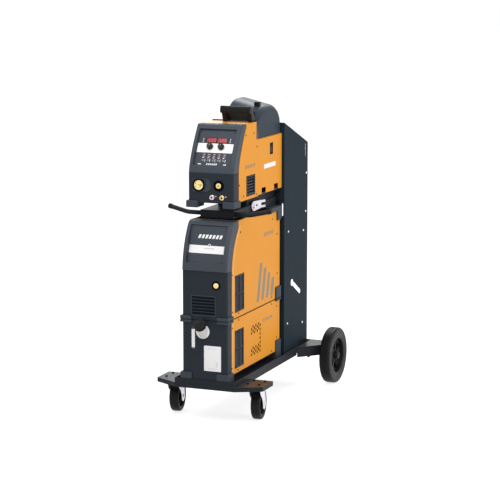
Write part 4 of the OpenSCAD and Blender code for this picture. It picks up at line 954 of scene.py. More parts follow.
class WELDER_OT_cable_rest(bpy.types.Operator):
    """Make the bent tube that cables hang over, with its end caps"""

    bl_idname = "welder.cable_rest"
    bl_label = "Cable rest"

    def execute(self, context):
        _, high = box_of("cable_rest")
        shelf, _ = box_of("shelf")
        y, z = shelf.y + 24, shelf.z + 21
        bend = sizes().rest_bend / MM
        away = Vector((
            math.cos(REST_BEND_ANGLE), math.sin(REST_BEND_ANGLE) * math.cos(REST_TURN),
            math.sin(REST_BEND_ANGLE) * math.sin(REST_TURN),
        ))
        corner = Vector((REST_BEND_X, y, z))
        reach = bend * math.tan(REST_BEND_ANGLE / 2) * 2
        arm = (high.x - REST_BEND_X) / away.x - 8
        start, stop = corner - Vector((reach, 0, 0)), corner + away * reach
        half = [Vector((0, y, z)), Vector((60, y, z)), Vector((120, y, z))]
        for i in range(9):
            t = i / 8
            half.append(start * (1 - t) ** 2 + corner * 2 * t * (1 - t) + stop * t ** 2)
        half += [corner + away * arm * k for k in (0.6, 0.8, 1.0)]
        other_half = [Vector((-p.x, p.y, p.z)) for p in reversed(half[1:])]
        tube = Form()
        tube.tube(other_half + half, REST_RADIUS)
        caps = Form()
        for side in (1, -1):
            tip = corner + away * arm
            lead = Vector((away.x * side, away.y, away.z))
            base = Vector((tip.x * side, tip.y, tip.z)) - lead * 16
            steps = [(0, 12.6), (1, 13.4), (14, 13.4), (17, 12.9), (19.5, 11.2), (20.8, 8.5), (21.4, 4.0)]
            caps.tube([base + lead * d for d, _ in steps], [r for _, r in steps], sides=24)
        settle(tube.piece("cable_rest_tube", "cart"), "cart", "cart_paint", "cable_rest")
        settle(caps.piece("cable_rest_caps", "black"), "cart", "black_plastic")
        return {"FINISHED"}


# Place of the lock fork's guide screw, as (Y, Z)
LOCK_SCREW = (416.0, 1052.0)


class WELDER_OT_lock_fork(bpy.types.Operator):
    """Finish the plated lock piece at the shelf"""

    bl_idname = "welder.lock_fork"
    bl_label = "Lock fork"

    def execute(self, context):
        machined("lock_fork", ["zinc"], 1.6, 3)
        _, high = box_of("lock_fork")
        screw = Form()
        screw.bolt(facing(high.x + 0.2, *LOCK_SCREW, RIGHT), across=19.0, height=8.0, washer=34.0)
        settle(screw.piece("lock_screw", "zinc"), "cart", "zinc")
        return {"FINISHED"}


class WELDER_OT_bolts(bpy.types.Operator):
    """Finish the cart's bolts and their washers"""

    bl_idname = "welder.bolts"
    bl_label = "Cart bolts"

    def execute(self, context):
        machined("cart_bolts", ["black steel"], 0.5)
        return {"FINISHED"}


# ---------- Castors and wheels ----------
# The castors' swivel axis as (X, Y), the way the forks point at rest, and the wheels' measures
PIVOT = (225.0, 137.0)
CASTOR_TURN = math.radians(8)
TRAIL = 45.0
CASTOR_RADIUS = 80.0
CASTOR_WIDTH = 50.0


def castor_place(side):
    """A castor's own frame: wheel axis along its first axis, trail along its second."""
    return at(side * PIVOT[0], PIVOT[1], 0) @ Matrix.Rotation(CASTOR_TURN, 4, "Z")


def hub_place(side):
    """Frame at the castor wheel's centre, with the wheel's axis as its third axis."""
    return castor_place(side) @ at(0, TRAIL, CASTOR_RADIUS) @ facing(0, 0, 0, RIGHT)


class WELDER_OT_castors(bpy.types.Operator):
    """Make the castors' forks and wheels"""

    bl_idname = "welder.castors"
    bl_label = "Castors"

    def execute(self, context):
        machined("castor_plates", ["zinc"], 0.6)
        for name, side in SIDES:
            self.fork(name, side)
            self.wheel(name, side)
        return {"FINISHED"}

    def fork(self, name, side):
        """Pressed fork: a dished crown with two tapering legs, the axle and its nuts."""
        crown = box_of("castor_fork_" + name)[1].z
        form = Form()
        place = castor_place(side)
        form.revolve([(6.2, crown - 4), (41, crown - 4), (43, crown - 3), (43, crown - 0.8), (42, crown),
                      (30, crown), (28, crown - 0.8), (6.2, crown - 0.8)], 0, place, 64, closed=True)
        hub = (TRAIL, CASTOR_RADIUS)
        hollow = arc((TRAIL - 105, CASTOR_RADIUS - 20), 82.2, 63.4, 3.0, 14)
        heel = arc(hub, 27.7, 214, 360, 16)
        outline = [(-35, crown - 3.8), (-38.5, 157)] + hollow + heel + [(66, 119), (35, crown - 3.8)]
        inner, wall = 27.7, 3.6
        for sign in (-1, 1):
            start = inner if sign > 0 else -inner - wall
            form.prism(outline, start, start + wall, 0, place @ ACROSS, edge=1.0, steps=2)
        for sign in (-1, 1):
            nut = place @ facing(sign * (inner + wall), TRAIL, CASTOR_RADIUS, (sign, 0, 0))
            form.bolt(nut, across=15.0, height=5.7, washer=16.6)
        form.tube([place @ Vector((x, TRAIL, CASTOR_RADIUS)) for x in (-inner - 1, 0, inner + 1)], 4.9)
        made = form.piece("castor_fork_%s_pressed" % name, "zinc")
        settle(made, "fork_" + name, "zinc", "castor_fork_" + name)

    def wheel(self, name, side):
        """Rubber tread with two fine grooves, on a ribbed plastic core."""
        half = CASTOR_WIDTH / 2
        tread = [(60.3, -half + 2)]
        tread += [(68 + r, -13 + h) for r, h in arc((0, 0), 12, -90, -18, 6)]
        for groove in (-6.5, 6.5):
            tread += [(80, groove - 1.6), (78.9, groove - 0.7), (78.9, groove + 0.7), (80, groove + 1.6)]
        tread += [(68 + r, 13 + h) for r, h in arc((0, 0), 12, 18, 90, 6)]
        tread += [(60.3, half - 2)]
        place = hub_place(side)
        body = "castor_" + name
        form = Form()
        form.revolve(tread, 0, place, sizes().facets, closed=True)
        settle(form.piece("castor_tread_" + name, "rubber"), body, "castor_rubber", "castor_wheel_" + name)
        core = Form()
        core.revolve(both_ways([(5.3, -26), (15, -26), (17, -24), (17, -7), (54, -7), (55, -20), (60, -22)]),
                     0, place, 64, closed=True)
        settle(core.piece("castor_core_" + name, "black"), body, "black_plastic")
        rib = Form()
        for sign in (-1, 1):
            low, high = sorted((sign * 6.5, sign * 18))
            rib.prism(soft_rect(16, 55.5, -1.6, 1.6, 1.4, 2), low, high, 0, None, 0.6)
        ribs = grow("castor_ribs_" + name, "Ring", "black", place, form=rib, Count=8)
        settle(ribs, body, "black_plastic")


class WELDER_OT_rear_wheels(bpy.types.Operator):
    """Make the rear tyres, rims and axle caps"""

    bl_idname = "welder.rear_wheels"
    bl_label = "Rear wheels"

    def execute(self, context):
        for name, side in SIDES:
            low, high = box_of("rear_tyre_" + name)
            centre = (low + high) / 2
            place = facing(*centre, (side, 0, 0))
            self.tyre(name, place, (high.z - low.z) / 2)
            self.rim(name, place)
        self.caps()
        return {"FINISHED"}

    def tyre(self, name, place, radius):
        """Flat-sided tyre with running grooves and moulded rings on each wall."""
        wall = [(103, -27.6), (105, -28.8), (109, -29.2), (115, -29.2), (116, -28.5), (118, -28.5), (119, -29.4),
                (131, -29.8), (132, -29.0), (134, -29.0), (135, -29.8)]
        shoulder = arc((radius - 12, -18), 11.8, -90, 0, 8)
        crown = radius - 0.2
        tread = []
        for centre in (-11.0, 0.0, 11.0):
            tread += [(crown, centre - 1.7), (crown - 2.4, centre - 1.1), (crown - 2.4, centre + 1.1),
                      (crown, centre + 1.7)]
        profile = both_ways(wall + shoulder, tread)
        form = Form()
        form.revolve(profile, 0, place, sizes().facets, closed=True)
        settle(form.piece("rear_tyre_%s_moulded" % name, "rubber", angle=24.0), "rear_wheel_" + name, "tyre",
               "rear_tyre_" + name)

    def rim(self, name, place):
        """Plastic rim with a stepped well, a hub and five flared spokes."""
        body = "rear_wheel_" + name
        form = Form()
        form.revolve([(102.8, -27), (102.8, 27), (100, 27.6), (95, 26.5), (93.5, 22), (92, 6), (86, 4), (86, -4),
                      (92, -6), (93.5, -22), (95, -26.5), (100, -27.6)], 0, place, sizes().facets, closed=True)
        form.revolve(both_ways([(10.2, -25), (21, -25), (23.5, -22), (24, -12), (30, -9), (44, -4)]),
                     0, place, 64, closed=True)
        settle(form.piece("rear_rim_%s_moulded" % name, "black"), body, "black_plastic", "rear_rim_" + name)
        spoke = Form()
        outline = [(20, -10), (40, -9.5), (66, -11), (88, -17), (88, 17), (66, 11), (40, 9.5), (20, 10)]
        spoke.prism(outline, -8, 8, 0, None, 2.0)
        rib = [(22, -3), (90, -3.4), (90, 3.4), (22, 3)]
        spoke.prism(rib, -13, 13, 0, None, 1.2)
        spokes = grow("rear_spokes_" + name, "Ring", "black", place @ turned(18), form=spoke, Count=5)
        settle(spokes, body, "black_plastic")

    def caps(self):
        """Domed caps on the axle's ends."""
        low, high = box_of("axle_caps")
        y, z = (low.y + high.y) / 2, (low.z + high.z) / 2
        form = Form()
        for side in (-1, 1):
            place = facing(side * (high.x - 8.7), y, z, (side, 0, 0))
            form.revolve([(0, 5.8), (10.3, 5.8), (10.3, 0), (21, 0), (21, 2.4), (19.4, 4.8), (15, 6.9), (8, 8.3),
                          (0, 8.7)], 0, place, 48)
        settle(form.piece("axle_caps_domed", "black"), "cart", "black_plastic", "axle_caps")


# ---------- Cases ----------
class WELDER_OT_cases(bpy.types.Operator):
    """Finish the cooler's and the power source's side sheets"""

    bl_idname = "welder.cases"
    bl_label = "Side sheets"

    def execute(self, context):
        for name in ("cooler_case", "source_case"):
            machined(name, ["orange"], 0.5)
        # Painted shade: a dark sheet on the source's top stands for the shadow under the shelf
        rear = box_of("source_bezel")[1].y
        _, high = box_of("source_case")
        shade_sheet = Form()
        shade_sheet.block((-114, rear + 0.5, high.z - 0.2), (114, 640, high.z + 1.4), 0, 0.5)
        settle(shade_sheet.piece("source_top_mat", "void"), "cart", "front_plastic")
        return {"FINISHED"}


def bulkhead_pick(centre, normal):
    """The feeder's bulkhead and its hinge sill are dark; the rest of the case is orange."""
    _, high = box_of("feeder_bezel")
    _, case = box_of("feeder_case")
    step = box_of("spool_hood")[0].y - 1
    bulkhead = abs(centre.y - step) < 4.5 and abs(normal.y) > 0.5 and centre.z > case.z - 120
    top_strip = centre.z > high.z + 0.5
    sill = centre.y > step + 4 and centre.z > box_of("side_door")[1].z + 4
    return 1 if bulkhead or top_strip or sill else 0


class WELDER_OT_feeder_case(bpy.types.Operator):
    """Finish the feeder's stepped case and its bulkhead"""

    bl_idname = "welder.feeder_case"
    bl_label = "Feeder case"

    def execute(self, context):
        machined("feeder_case", ["orange", "front"], 0.5, pick=bulkhead_pick)
        _, high = box_of("feeder_case")
        step, brow = box_of("spool_hood")[0].y, box_of("feeder_bezel")[1].z
        cap = Form()
        cap.block((-high.x + 0.1, step - 4.8, brow - 0.2), (high.x - 0.1, step - 0.4, high.z + 0.8), 0, 0.6)
        settle(cap.piece("bulkhead_cap", "front"), "cart", "front_plastic")
        return {"FINISHED"}


class WELDER_OT_fronts(bpy.types.Operator):
    """Finish the lower fronts of the three machines"""

    bl_idname = "welder.fronts"
    bl_label = "Lower fronts"

    def execute(self, context):
        for name in ("cooler_front", "source_face", "feeder_face"):
            machined(name, ["front"], 0.8)
        return {"FINISHED"}


# The power source's front begins to curve this far below its bezel
CURVE_BELOW = 36.0


class Bezel:
    """Measures of a curved front frame: its front and rear lines over height, and its pocket."""

    def __init__(self, name, foot, front, edge, crest, pocket, half_x):
        self.name = name
        self.foot = foot
        self.front = front
        self.edge = edge
        self.crest = crest
        self.pocket = pocket
        self.half_x = half_x
        low, high = box_of(name)
        self.z0, self.z1 = low.z, high.z
        self.half_w = high.x

    def rise(self, z):
        return max(0.0, (z - self.foot) / (self.z1 - self.foot))

    def rear_line(self, base, border, top):
        """Rear line as (Y, Z), from the machine's underside up to a height."""
        heights = [base] + [self.z0 + (top - self.z0) * i / 12 for i in range(13)]
        return [(border if z < self.z0 else self.edge(self.rise(z)), z) for z in heights]

    def line(self, wall):
        """Front line as (Y, Z), up the curve and over the crest."""
        run, turn = 18, 8
        last = self.z1 - self.crest
        heights = [self.z0 + wall + (last - self.z0 - wall) * i / run for i in range(run + 1)]
        points = [(self.front(self.rise(z)) + wall, z) for z in heights]
        a, c = points[-1], (self.front(1) + self.crest * 0.75, self.z1 - wall)
        b = (self.front(1) - 3 + wall, self.z1 - wall)
        for i in range(1, turn + 1):
            t = i / turn
            points.append(tuple(a[k] * (1 - t) ** 2 + 2 * b[k] * t * (1 - t) + c[k] * t ** 2 for k in (0, 1)))
        return points

    def body(self, wall, beyond):
        """Solid between the front line and the rear line, with rounded front corners."""
        radius = sizes().bezel_corner / MM - wall
        half = self.half_w - wall
        rings = []
        for y, z in self.line(wall):
            edge = self.edge(self.rise(min(z, self.z1))) + beyond
            corner = min(radius, (edge - y) / 2)
            left = [(x, py, z) for x, py in arc((-half + corner, y + corner), corner, 180, 270, 7)]
            right = [(x, py, z) for x, py in arc((half - corner, y + corner), corner, 270, 360, 7)]
            rings.append([(-half, edge, z)] + left + right + [(half, edge, z)])
        form = Form()
        form.loft(rings)
        return form

    def make(self):
        """The frame: a shell with a pocket for its panel."""
        wall = 4.0
        place = leaning(*self.pocket)
        height = (Vector(self.pocket[1]) - Vector(self.pocket[0])).length
        shell = self.body(0.0, 0.0).piece(self.name + "_moulded", "bezel")
        hollow = self.body(wall, 30.0).piece("hollow", "bezel")
        block = Form()
        around = soft_rect(-self.half_x - wall, self.half_x + wall, -wall, height + wall, 6)
        block.prism(around, -7, 90, 0, place)
        cut(hollow, block.piece("block", "bezel"))
        cut(shell, hollow)
        pocket = Form()
        pocket.prism(soft_rect(-self.half_x, self.half_x, 0, height, 5), -3, 95, 0, place)
        cut(shell, pocket.piece("pocket", "bezel"))
        through = Form()
        rim = 10
        opening = soft_rect(-self.half_x + rim, self.half_x - rim, rim, height - rim, 5)
        through.prism(opening, -12, 20, 0, place)
        cut(shell, through.piece("through", "bezel"))
        smooth(shell.data)
        soften(shell, sizes().plastic_edge / MM, 3, 38.0)
        settle(shell, "cart", "bezel_plastic", self.name)


def source_bezel():
    low, high = box_of("source_bezel")
    rear = box_of("source_case")[0].y
    foot = low.z - CURVE_BELOW
    power = 2.3
    start = low.y - 88 * (CURVE_BELOW / (high.z - foot)) ** power
    return Bezel(
        "source_bezel", foot, lambda r: start + 88 * r ** power,
        lambda r: rear + 95 * min(1, (r / 0.888) ** power), 30.0, SOURCE_POCKET, 100.0,
    )


def feeder_bezel():
    low, _ = box_of("feeder_bezel")

    def front(rise):
        return low.y + 118 * rise ** 1.42

    return Bezel("feeder_bezel", low.z, front, lambda r: front(r) + 68 - 9 * r, 12.0, CONTROL_POCKET, 101.0)


# Lower and upper ends of the two panels' front planes, as (Y, Z)
SOURCE_POCKET = ((12.0, box_of("source_bezel")[0].z + 34), (76.0, box_of("source_bezel")[1].z - 21))
CONTROL_POCKET = (
    (box_of("feeder_bezel")[0].y + 18, box_of("feeder_bezel")[0].z + 31),
    (box_of("feeder_bezel")[0].y + 113, box_of("feeder_bezel")[1].z - 27),
)


class WELDER_OT_bezels(bpy.types.Operator):
    """Make the curved front frames of the power source and the feeder"""

    bl_idname = "welder.bezels"
    bl_label = "Bezels"

    def execute(self, context):
        source_bezel().make()
        feeder_bezel().make()
        return {"FINISHED"}


class WELDER_OT_corner_feet(bpy.types.Operator):
    """Finish the corner feet and guards"""

    bl_idname = "welder.corner_feet"
    bl_label = "Corner feet"

    def execute(self, context):
        machined("corner_feet", ["corner"], sizes().corner_edge / MM, 3)
        return {"FINISHED"}


# ---------- Vents, screws ----------
def vent_windows():
    """Front, rear, bottom and top edges of the side vents, as in the CAD model, and their banks of slats."""
    cooler, source, feeder = (box_of(n)[0] for n in ("cooler_case", "source_case", "feeder_case"))
    feeder_front = box_of("feeder_bezel")[0].y
    return [
        (103, 222, source.z + 26, source.z + 214, 2), (100, 216, cooler.z + 25, cooler.z + 219, 2),
        (feeder_front + 172, feeder_front + 288, feeder.z + 16, feeder.z + 120, 1),
    ]


class WELDER_OT_vents(bpy.types.Operator):
    """Make the louvred inserts in the side sheets and the slats behind the front louvre"""

    bl_idname = "welder.vents"
    bl_label = "Vents"

    def execute(self, context):
        half = box_of("cooler_case")[1].x
        frames = Form()
        for side in (-1, 1):
            place = sideways(half, side)
            for y0, y1, z0, z1, banks in vent_windows():
                self.frame(frames, place, side, y0, y1, z0, z1, banks)
        settle(frames.piece("vent_frames", "front"), "cart", "front_plastic", "vent_inserts")
        for name, side in SIDES:
            for title, (y0, y1, z0, z1, banks) in zip(("source", "cooler", "feeder"), vent_windows()):
                self.slats("%s_slats_%s" % (title, name), side * half, y0, y1, z0, z1, banks)
        self.louvre()
        return {"FINISHED"}

    def frame(self, form, place, side, y0, y1, z0, z1, banks):
        """Rim of an insert, with its cross bars."""
        rim = 9
        bars = [(y0, y0 + rim, z0, z1), (y1 - rim, y1, z0, z1), (y0, y1, z0, z0 + rim), (y0, y1, z1 - rim, z1)]
        if banks == 2:
            middle = (z0 + z1) / 2
            bars.append((y0, y1, middle - 4, middle + 4))
            centre = (y0 + y1) / 2
            bars.append((centre - 2, centre + 2, z0, z1))
        for a, b, low, high in bars:
            u = sorted((a * side, b * side))
            form.block((u[0], low, -3.4), (u[1], high, 1.5), 0, 0.8, place)

    def slats(self, name, x, y0, y1, z0, z1, banks):
        """Sloping slats inside an insert's rim."""
        pitch, depth = (7.6, 1.5) if banks == 2 else (15.0, 2.4)
        side = 1 if x > 0 else -1
        slat = Form()
        lean = Matrix.Rotation(side * math.radians(38), 4, "Y")
        slat.block((-4.6, 0, -depth / 2), (4.6, y1 - y0 - 16, depth / 2), 0, 0.5, lean)
        count = int((z1 - z0 - 20) / pitch) + 1
        start = at(x - side * 3.9, y0 + 8, z0 + 12)
        made = grow(name, "Row", "bezel", start, form=slat, Count=count, Step=(0, 0, pitch * MM))
        settle(made, "cart", "front_plastic")

    def louvre(self):
        """Sloping slats behind the six slots of the source's front, and the rim round them."""
        z0 = box_of("source_face")[0].z + 28
        slat = Form()
        lean = Matrix.Rotation(math.radians(-40), 4, "X")
        slat.block((-66, -7, -1), (54, 7, 1), 0, 0.6, lean)
        made = grow("front_slats", "Row", "front", at(0, 9.5, z0 + 1), form=slat, Count=7, Step=(0, 0, 16 * MM))
        settle(made, "cart", "front_plastic")
        rim = Form()
        outer = soft_rect(-73, 61, z0 - 7, z0 + 96, 5)
        inner = soft_rect(-70, 58, z0 - 4, z0 + 93, 3.5)
        rings = [[(x, 0.2, z) for x, z in outer], [(x, -0.9, z) for x, z in inset(outer, 0.5)],
                 [(x, -0.9, z) for x, z in inset(inner, -0.5)], [(x, 0.2, z) for x, z in inner]]
        rim.loft(rings, around=True)
        settle(rim.piece("front_louvre_rim", "bezel"), "cart", "front_plastic")
        # Painted shade: a dark sheet behind the slats stands for the shade inside the case
        shade_sheet = Form()
        shade_sheet.block((-84, 17.6, z0 - 6), (64, 18.6, z0 + 92), 0, 0.3)
        settle(shade_sheet.piece("front_louvre_mat", "void"), "cart", "black_plastic")
        self.screens()

    def screens(self):
        """Dark sheets behind the groups of hexagonal holes, painted shade of the cooler's inside."""
        corner, far = box_of("cooler_case")
        screens = Form()
        for side in (-1, 1):
            low, high = sorted((side * (far.x - 3.2), side * (far.x - 2.2)))
            screens.block((low, 310, corner.z + 34), (high, 482, corner.z + 222), 0, 0.3)
        settle(screens.piece("hexagon_screens", "void"), "cart", "black_plastic")


# Screws of the side sheets as (Y, Z) from each case's front and underside
SOURCE_SCREWS = ((176, 426), (612, 432), (681, 344), (682, 133), (603, 18), (64, 226), (70, 35), (148, 17))
COOLER_SCREWS = ((676, 242), (603, 266), (151, 267), (67, 240), (677, 74), (605, 13), (62, 34), (141, 12))
FEEDER_SCREWS = ((167, 327), (272, 329), (315, 256), (79, 85), (134, 24), (309, 13))


def screw_head():
    """Domed head with a hexagon recess, 9 mm wide."""
    form = Form()
    dome = [(4.5, 0), (4.45, 0.5), (4.1, 1.2), (3.4, 1.8), (2.5, 2.15)]
    form.revolve([(0, 0)] + dome + [(2.0, 2.2), (1.9, 1.0), (0, 0.8)], 0, None, 18)
    return form


class WELDER_OT_screws(bpy.types.Operator):
    """Set the screws of the side sheets"""

    bl_idname = "welder.screws"
    bl_label = "Case screws"

    def execute(self, context):
        half = box_of("cooler_case")[1].x
        lists = (
            (SOURCE_SCREWS, 0, box_of("source_case")[0].z), (COOLER_SCREWS, 0, box_of("cooler_case")[0].z),
            (FEEDER_SCREWS, box_of("feeder_bezel")[0].y, box_of("feeder_case")[0].z),
        )
        points = []
        for holes, y0, z0 in lists:
            for y, z in holes:
                points += [((side * half, y0 + y, z0 + z), (side, 0, 0)) for side in (-1, 1)]
        made = grow("case_screws_domed", "Studs", "black steel", points=points, form=screw_head(), Scale=1.0)
        settle(made, "cart", "steel", "case_screws")
        return {"FINISHED"}


# ---------- Sockets and couplings ----------
class WELDER_OT_sockets(bpy.types.Operator):
    """Make the torch socket, the power sockets and the water couplings"""

    bl_idname = "welder.sockets"
    bl_label = "Sockets"

    def execute(self, context):
        source = box_of("source_face")[0]
        feeder = box_of("feeder_face")[0]
        face_y = feeder.y + 2
        row_z = feeder.z + 88.5
        rings, contacts = Form(), Form()
        self.power(rings, contacts, 64, 0, source.z + 179, 43, 1.6)
        self.power(rings, contacts, 44, face_y, row_z, 54, -16)
        self.torch(rings, contacts, -63, face_y - 2, row_z)
        settle(rings.piece("socket_rings", "void"), "cart", "black_plastic", "socket_bodies")
        settle(contacts.piece("socket_inserts", "brass"), "cart", "brass", "socket_contacts")
        self.couplings(face_y, feeder.z + 29.5)
        return {"FINISHED"}

    def power(self, rings, contacts, x, y, z, flange, bottom):
        """Insulated bayonet socket, its contact open down to a bottom."""
        place = facing(x, y, z, FRONT)
        r = flange / 2
        rings.revolve([(15.1, -50), (18, -50), (18, 0), (r, 0), (r, 3.2), (r - 1.2, 5), (r - 3.5, 6), (16.4, 6),
                       (15.1, 4.8)], 0, place, 64, closed=True)
        contacts.revolve([(0, bottom), (4.6, bottom), (5.4, 3.4), (7.4, 4), (13.2, 4), (14.4, 3.2), (14.8, 2),
                          (14.8, -55), (0, -55)], 0, place)

    def torch(self, rings, contacts, x, y, z):
        """Central torch socket: brass face with its bore, two pin holes and a plug guide."""
        place = facing(x, y, z, FRONT)
        rings.revolve([(25.1, -48), (27.9, -48), (27.9, 0), (32, 0), (32, 3.4), (31, 5.2), (28.6, 6), (26.4, 6),
                       (25.1, 4.8)], 0, place, 72, closed=True)
        contacts.revolve([(0, -14), (4, -14), (4.4, 1), (7.6, 3.2), (9.6, 4), (22.8, 4), (24.4, 3.2),
                          (24.9, 1.6), (24.9, -55), (0, -55)], 0, place, 64)
        plate, hole = Form(), Form()
        outline = [(-32, -33), (34, -33)] + arc((34, 0), 33, -80, 80, 16) + [(34, 33), (-32, 33)]
        film(plate, outline, place)
        hole.prism(circle(28.5, 48), -2, 3, 0, place)
        made = plate.piece("torch_plate_skin", "torch plate")
        cut(made, hole.piece("hole", "torch plate"))
        settle(made, "cart", "front_plastic")
        details = Form()
        for dx, dy in ((-14.5, 8), (-14.5, -8)):
            pin = place @ at(dx, dy, 0)
            rim = [(1.4, 3.4), (2.8, 3.4), (2.8, 4.7), (2.2, 5.2), (1.4, 4.4)]
            details.revolve(rim, 0, pin, 20, closed=True)
        details.prism(slot_outline(-5, 5, 4.4), 3.6, 4.5, 0, place @ at(14, 0, 0) @ turned(90), 0.3)
        settle(details.piece("torch_socket_pins", "black"), "cart", "black_plastic")
        mark = Form()
        mark.prism(circle(3.6, 4), 2, 2.6, 0, facing(x + 39, y + 2, z + 2, FRONT), 0.2)
        settle(mark.piece("torch_plate_mark", "black"), "cart", "black_plastic")

    def couplings(self, y, z):
        """Push-fit water couplings with knurled sleeves, and a coloured spot beside each."""
        for name, x, sleeve, spot in (("cold", 8.5, "nickel", "mark"), ("warm", 62.0, "brass", "rose")):
            place = facing(x, y, z, FRONT)
            form = Form()
            form.revolve([(4.5, -30), (9, -30), (9, 0), (12.3, 0), (12.3, 2.6), (11.6, 3.2), (10.3, 3.4),
                          (10.3, 10.6), (9.4, 11.8), (6.6, 11.9), (5.4, 10.4), (4.5, 8)], 0, place, closed=True)
            settle(form.piece("coupling_" + name, sleeve), "cart", "brass")
            knurl = Form()
            knurl.block((9.9, -0.35, 4.4), (10.6, 0.35, 9.6), 0, 0.2)
            grips = grow("coupling_grip_" + name, "Ring", sleeve, place, form=knurl, Count=36)
            settle(grips, "cart", "brass")
            tag = Form()
            tag.prism(soft_rect(15, 24, 3, 8, 2), 0, 0.3, 0, place, 0.1)
            settle(tag.piece("coupling_tag_" + name, spot), "cart", "front_plastic")


# ---------- Cooler ----------
# Lean of the filler neck towards the front
NECK_TILT = math.radians(45)


class WELDER_OT_filler(bpy.types.Operator):
    """Make the filler cap, the tank with its white collar, and the label plate"""

    bl_idname = "welder.filler"
    bl_label = "Filler"

    def execute(self, context):
        machined("coolant_tank", ["tank"], 0.6)
        low, high = box_of("filler_cap")
        centre = (low + high) / 2
        out = Vector((0, -math.sin(NECK_TILT), math.cos(NECK_TILT)))
        place = facing(*(centre - out * 13), out)
        cap = Form()
        cap.revolve([(26.6, 0.2), (29.2, 0.2), (29.8, 0.9), (29.8, 20), (30.8, 21), (30.8, 23.4), (29.6, 25.2),
                     (27, 25.8), (24.4, 25.2), (22.6, 24.2), (0, 24.2), (0, 22.6), (26.6, 22.6)], 0, place, 72)
        settle(cap.piece("filler_cap_moulded", "black"), "filler_cap", "black_plastic", "filler_cap")
        grip = Form()
        grip.prism(soft_rect(29.0, 30.8, -2.2, 2.2, 0.8, 3), 1, 20.6, 0, None, 0.5)
        grips = grow("filler_cap_grips", "Ring", "black", place, form=grip, Count=24)
        settle(grips, "filler_cap", "black_plastic")
        bar = Form()
        bar.prism(slot_outline(-19, 19, 9), 23.8, 25.8, 0, place, 1.0, 0.0)
        settle(bar.piece("filler_cap_bar", "black"), "filler_cap", "black_plastic")
        self.label(box_of("cooler_case")[0].z)
        return {"FINISHED"}

    def label(self, base):
        """Plain white plate with a few ruled lines."""
        z0, z1 = base + 27, base + 156
        place = facing(0, 0, 0, FRONT)
        plate = Form()
        plate.prism(soft_rect(-3, 89, z0, z1, 2.5), 0, 0.5, 0, place, 0.2, 0.0)
        settle(plate.piece("cooler_label", "white film"), "cart", "front_plastic")
        lines = Form()
        for z in (z0 + 12, z1 - 14):
            lines.prism(soft_rect(18, 68, z, z + 1.4, 0.5), 0.4, 0.6, 0, place)
        for i in range(4):
            z = z0 + 24 + 7 * i
            lines.prism(soft_rect(60, 74 - 3 * (i % 2), z, z + 2, 0.5), 0.4, 0.6, 0, place)
        settle(lines.piece("cooler_label_lines", "line"), "cart", "front_plastic")


class WELDER_OT_cooler_inside(bpy.types.Operator):
    """Finish what the water cooler holds"""

    bl_idname = "welder.cooler_inside"
    bl_label = "Cooler's inside"

    def execute(self, context):
        machined("cooler_chassis", ["steel"], 0.4)
        machined("coolant_pump", ["cast"], 1.2)
        machined("radiator", ["aluminium"], 0.3)
        machined("cooler_fan", ["black"], 0.4)
        return {"FINISHED"}


# ---------- Power source ----------
def film(form, outline, place, finish=0, height=None):
    """Printed area on a face, as thick as the film."""
    thick = height or sizes().film / MM
    form.prism(outline, 0, thick, finish, place, thick * 0.3, 0.0, 1)


def hood_base():
    """Height of the gap between the side door and the hood."""
    return box_of("side_door")[1].z + 3.5


def mirrored(outline, side):
    """Outline as seen from that side, counter-clockwise."""
    return outline if side > 0 else [(-a, b) for a, b in reversed(outline)]


def strip(form, place, side, line, near, far, finish):
    """Film between two distances behind a line of (Y, Z) points that runs upwards."""
    outline = [(y + far, z) for y, z in line] + [(y + near, z) for y, z in reversed(line)]
    film(form, mirrored(outline, side), place, finish)


def slanted_row(form, place, x0, y0, y1, bar, gap, count, lean):
    """Row of plain slanted bars."""
    for i in range(count):
        x = x0 + i * (bar + gap)
        film(form, slanted(x, x + bar, y0, y1, lean), place)


def on_panel(place, spots):
    """Spots on a panel as points and directions for a tree."""
    out = tuple(place.to_3x3() @ Vector((0, 0, 1)))
    return [(tuple(place @ Vector((x, up, 0))), out) for x, up in spots]


def panel_screws(name, place, spots):
    """Small dark screws on a panel."""
    points = on_panel(place, spots)
    made = grow(name, "Studs", "black steel", points=points, form=screw_head(), Scale=0.62)
    settle(made, "cart", "steel")


class WELDER_OT_source_panel(bpy.types.Operator):
    """Finish the power source's recessed panel with its stripe and lamp"""

    bl_idname = "welder.source_panel"
    bl_label = "Source panel"

    def execute(self, context):
        machined("source_panel", ["bezel"], 0.6)
        place = leaning(*SOURCE_POCKET)
        white = Form()
        film(white, soft_rect(-97, 97, 54, 94, 0.5), place)
        slanted_row(white, place, -57, 130, 149, 12, 7, 7, 7)
        settle(white.piece("source_stripe", "white film"), "cart", "front_plastic")
        marks = Form()
        slanted_row(marks, place @ at(0, 0, 0.3), -16, 76, 82, 4.5, 2.5, 8, 2)
        settle(marks.piece("source_stripe_marks", "line"), "cart", "front_plastic")
        ring = Form()
        at_lamp = place @ at(10, 96, 0)
        ring.revolve([(4.2, 0), (7, 0), (7, 1.0), (6.4, 1.6), (4.2, 1.2)], 0, at_lamp, 32, closed=True)
        settle(ring.piece("source_lamp_ring", "white film"), "cart", "front_plastic")
        lens = Form()
        lens.revolve([(0, 0), (4.1, 0), (4.1, 1.4), (3.4, 2.4), (1.9, 3.1), (0, 3.3)], 0, at_lamp, 24)
        settle(lens.piece("source_lamp", "red lamp"), "cart", "front_plastic")
        panel_screws("source_panel_screws", place, [(x, up) for x in (-88, 88) for up in (12, 182)])
        return {"FINISHED"}


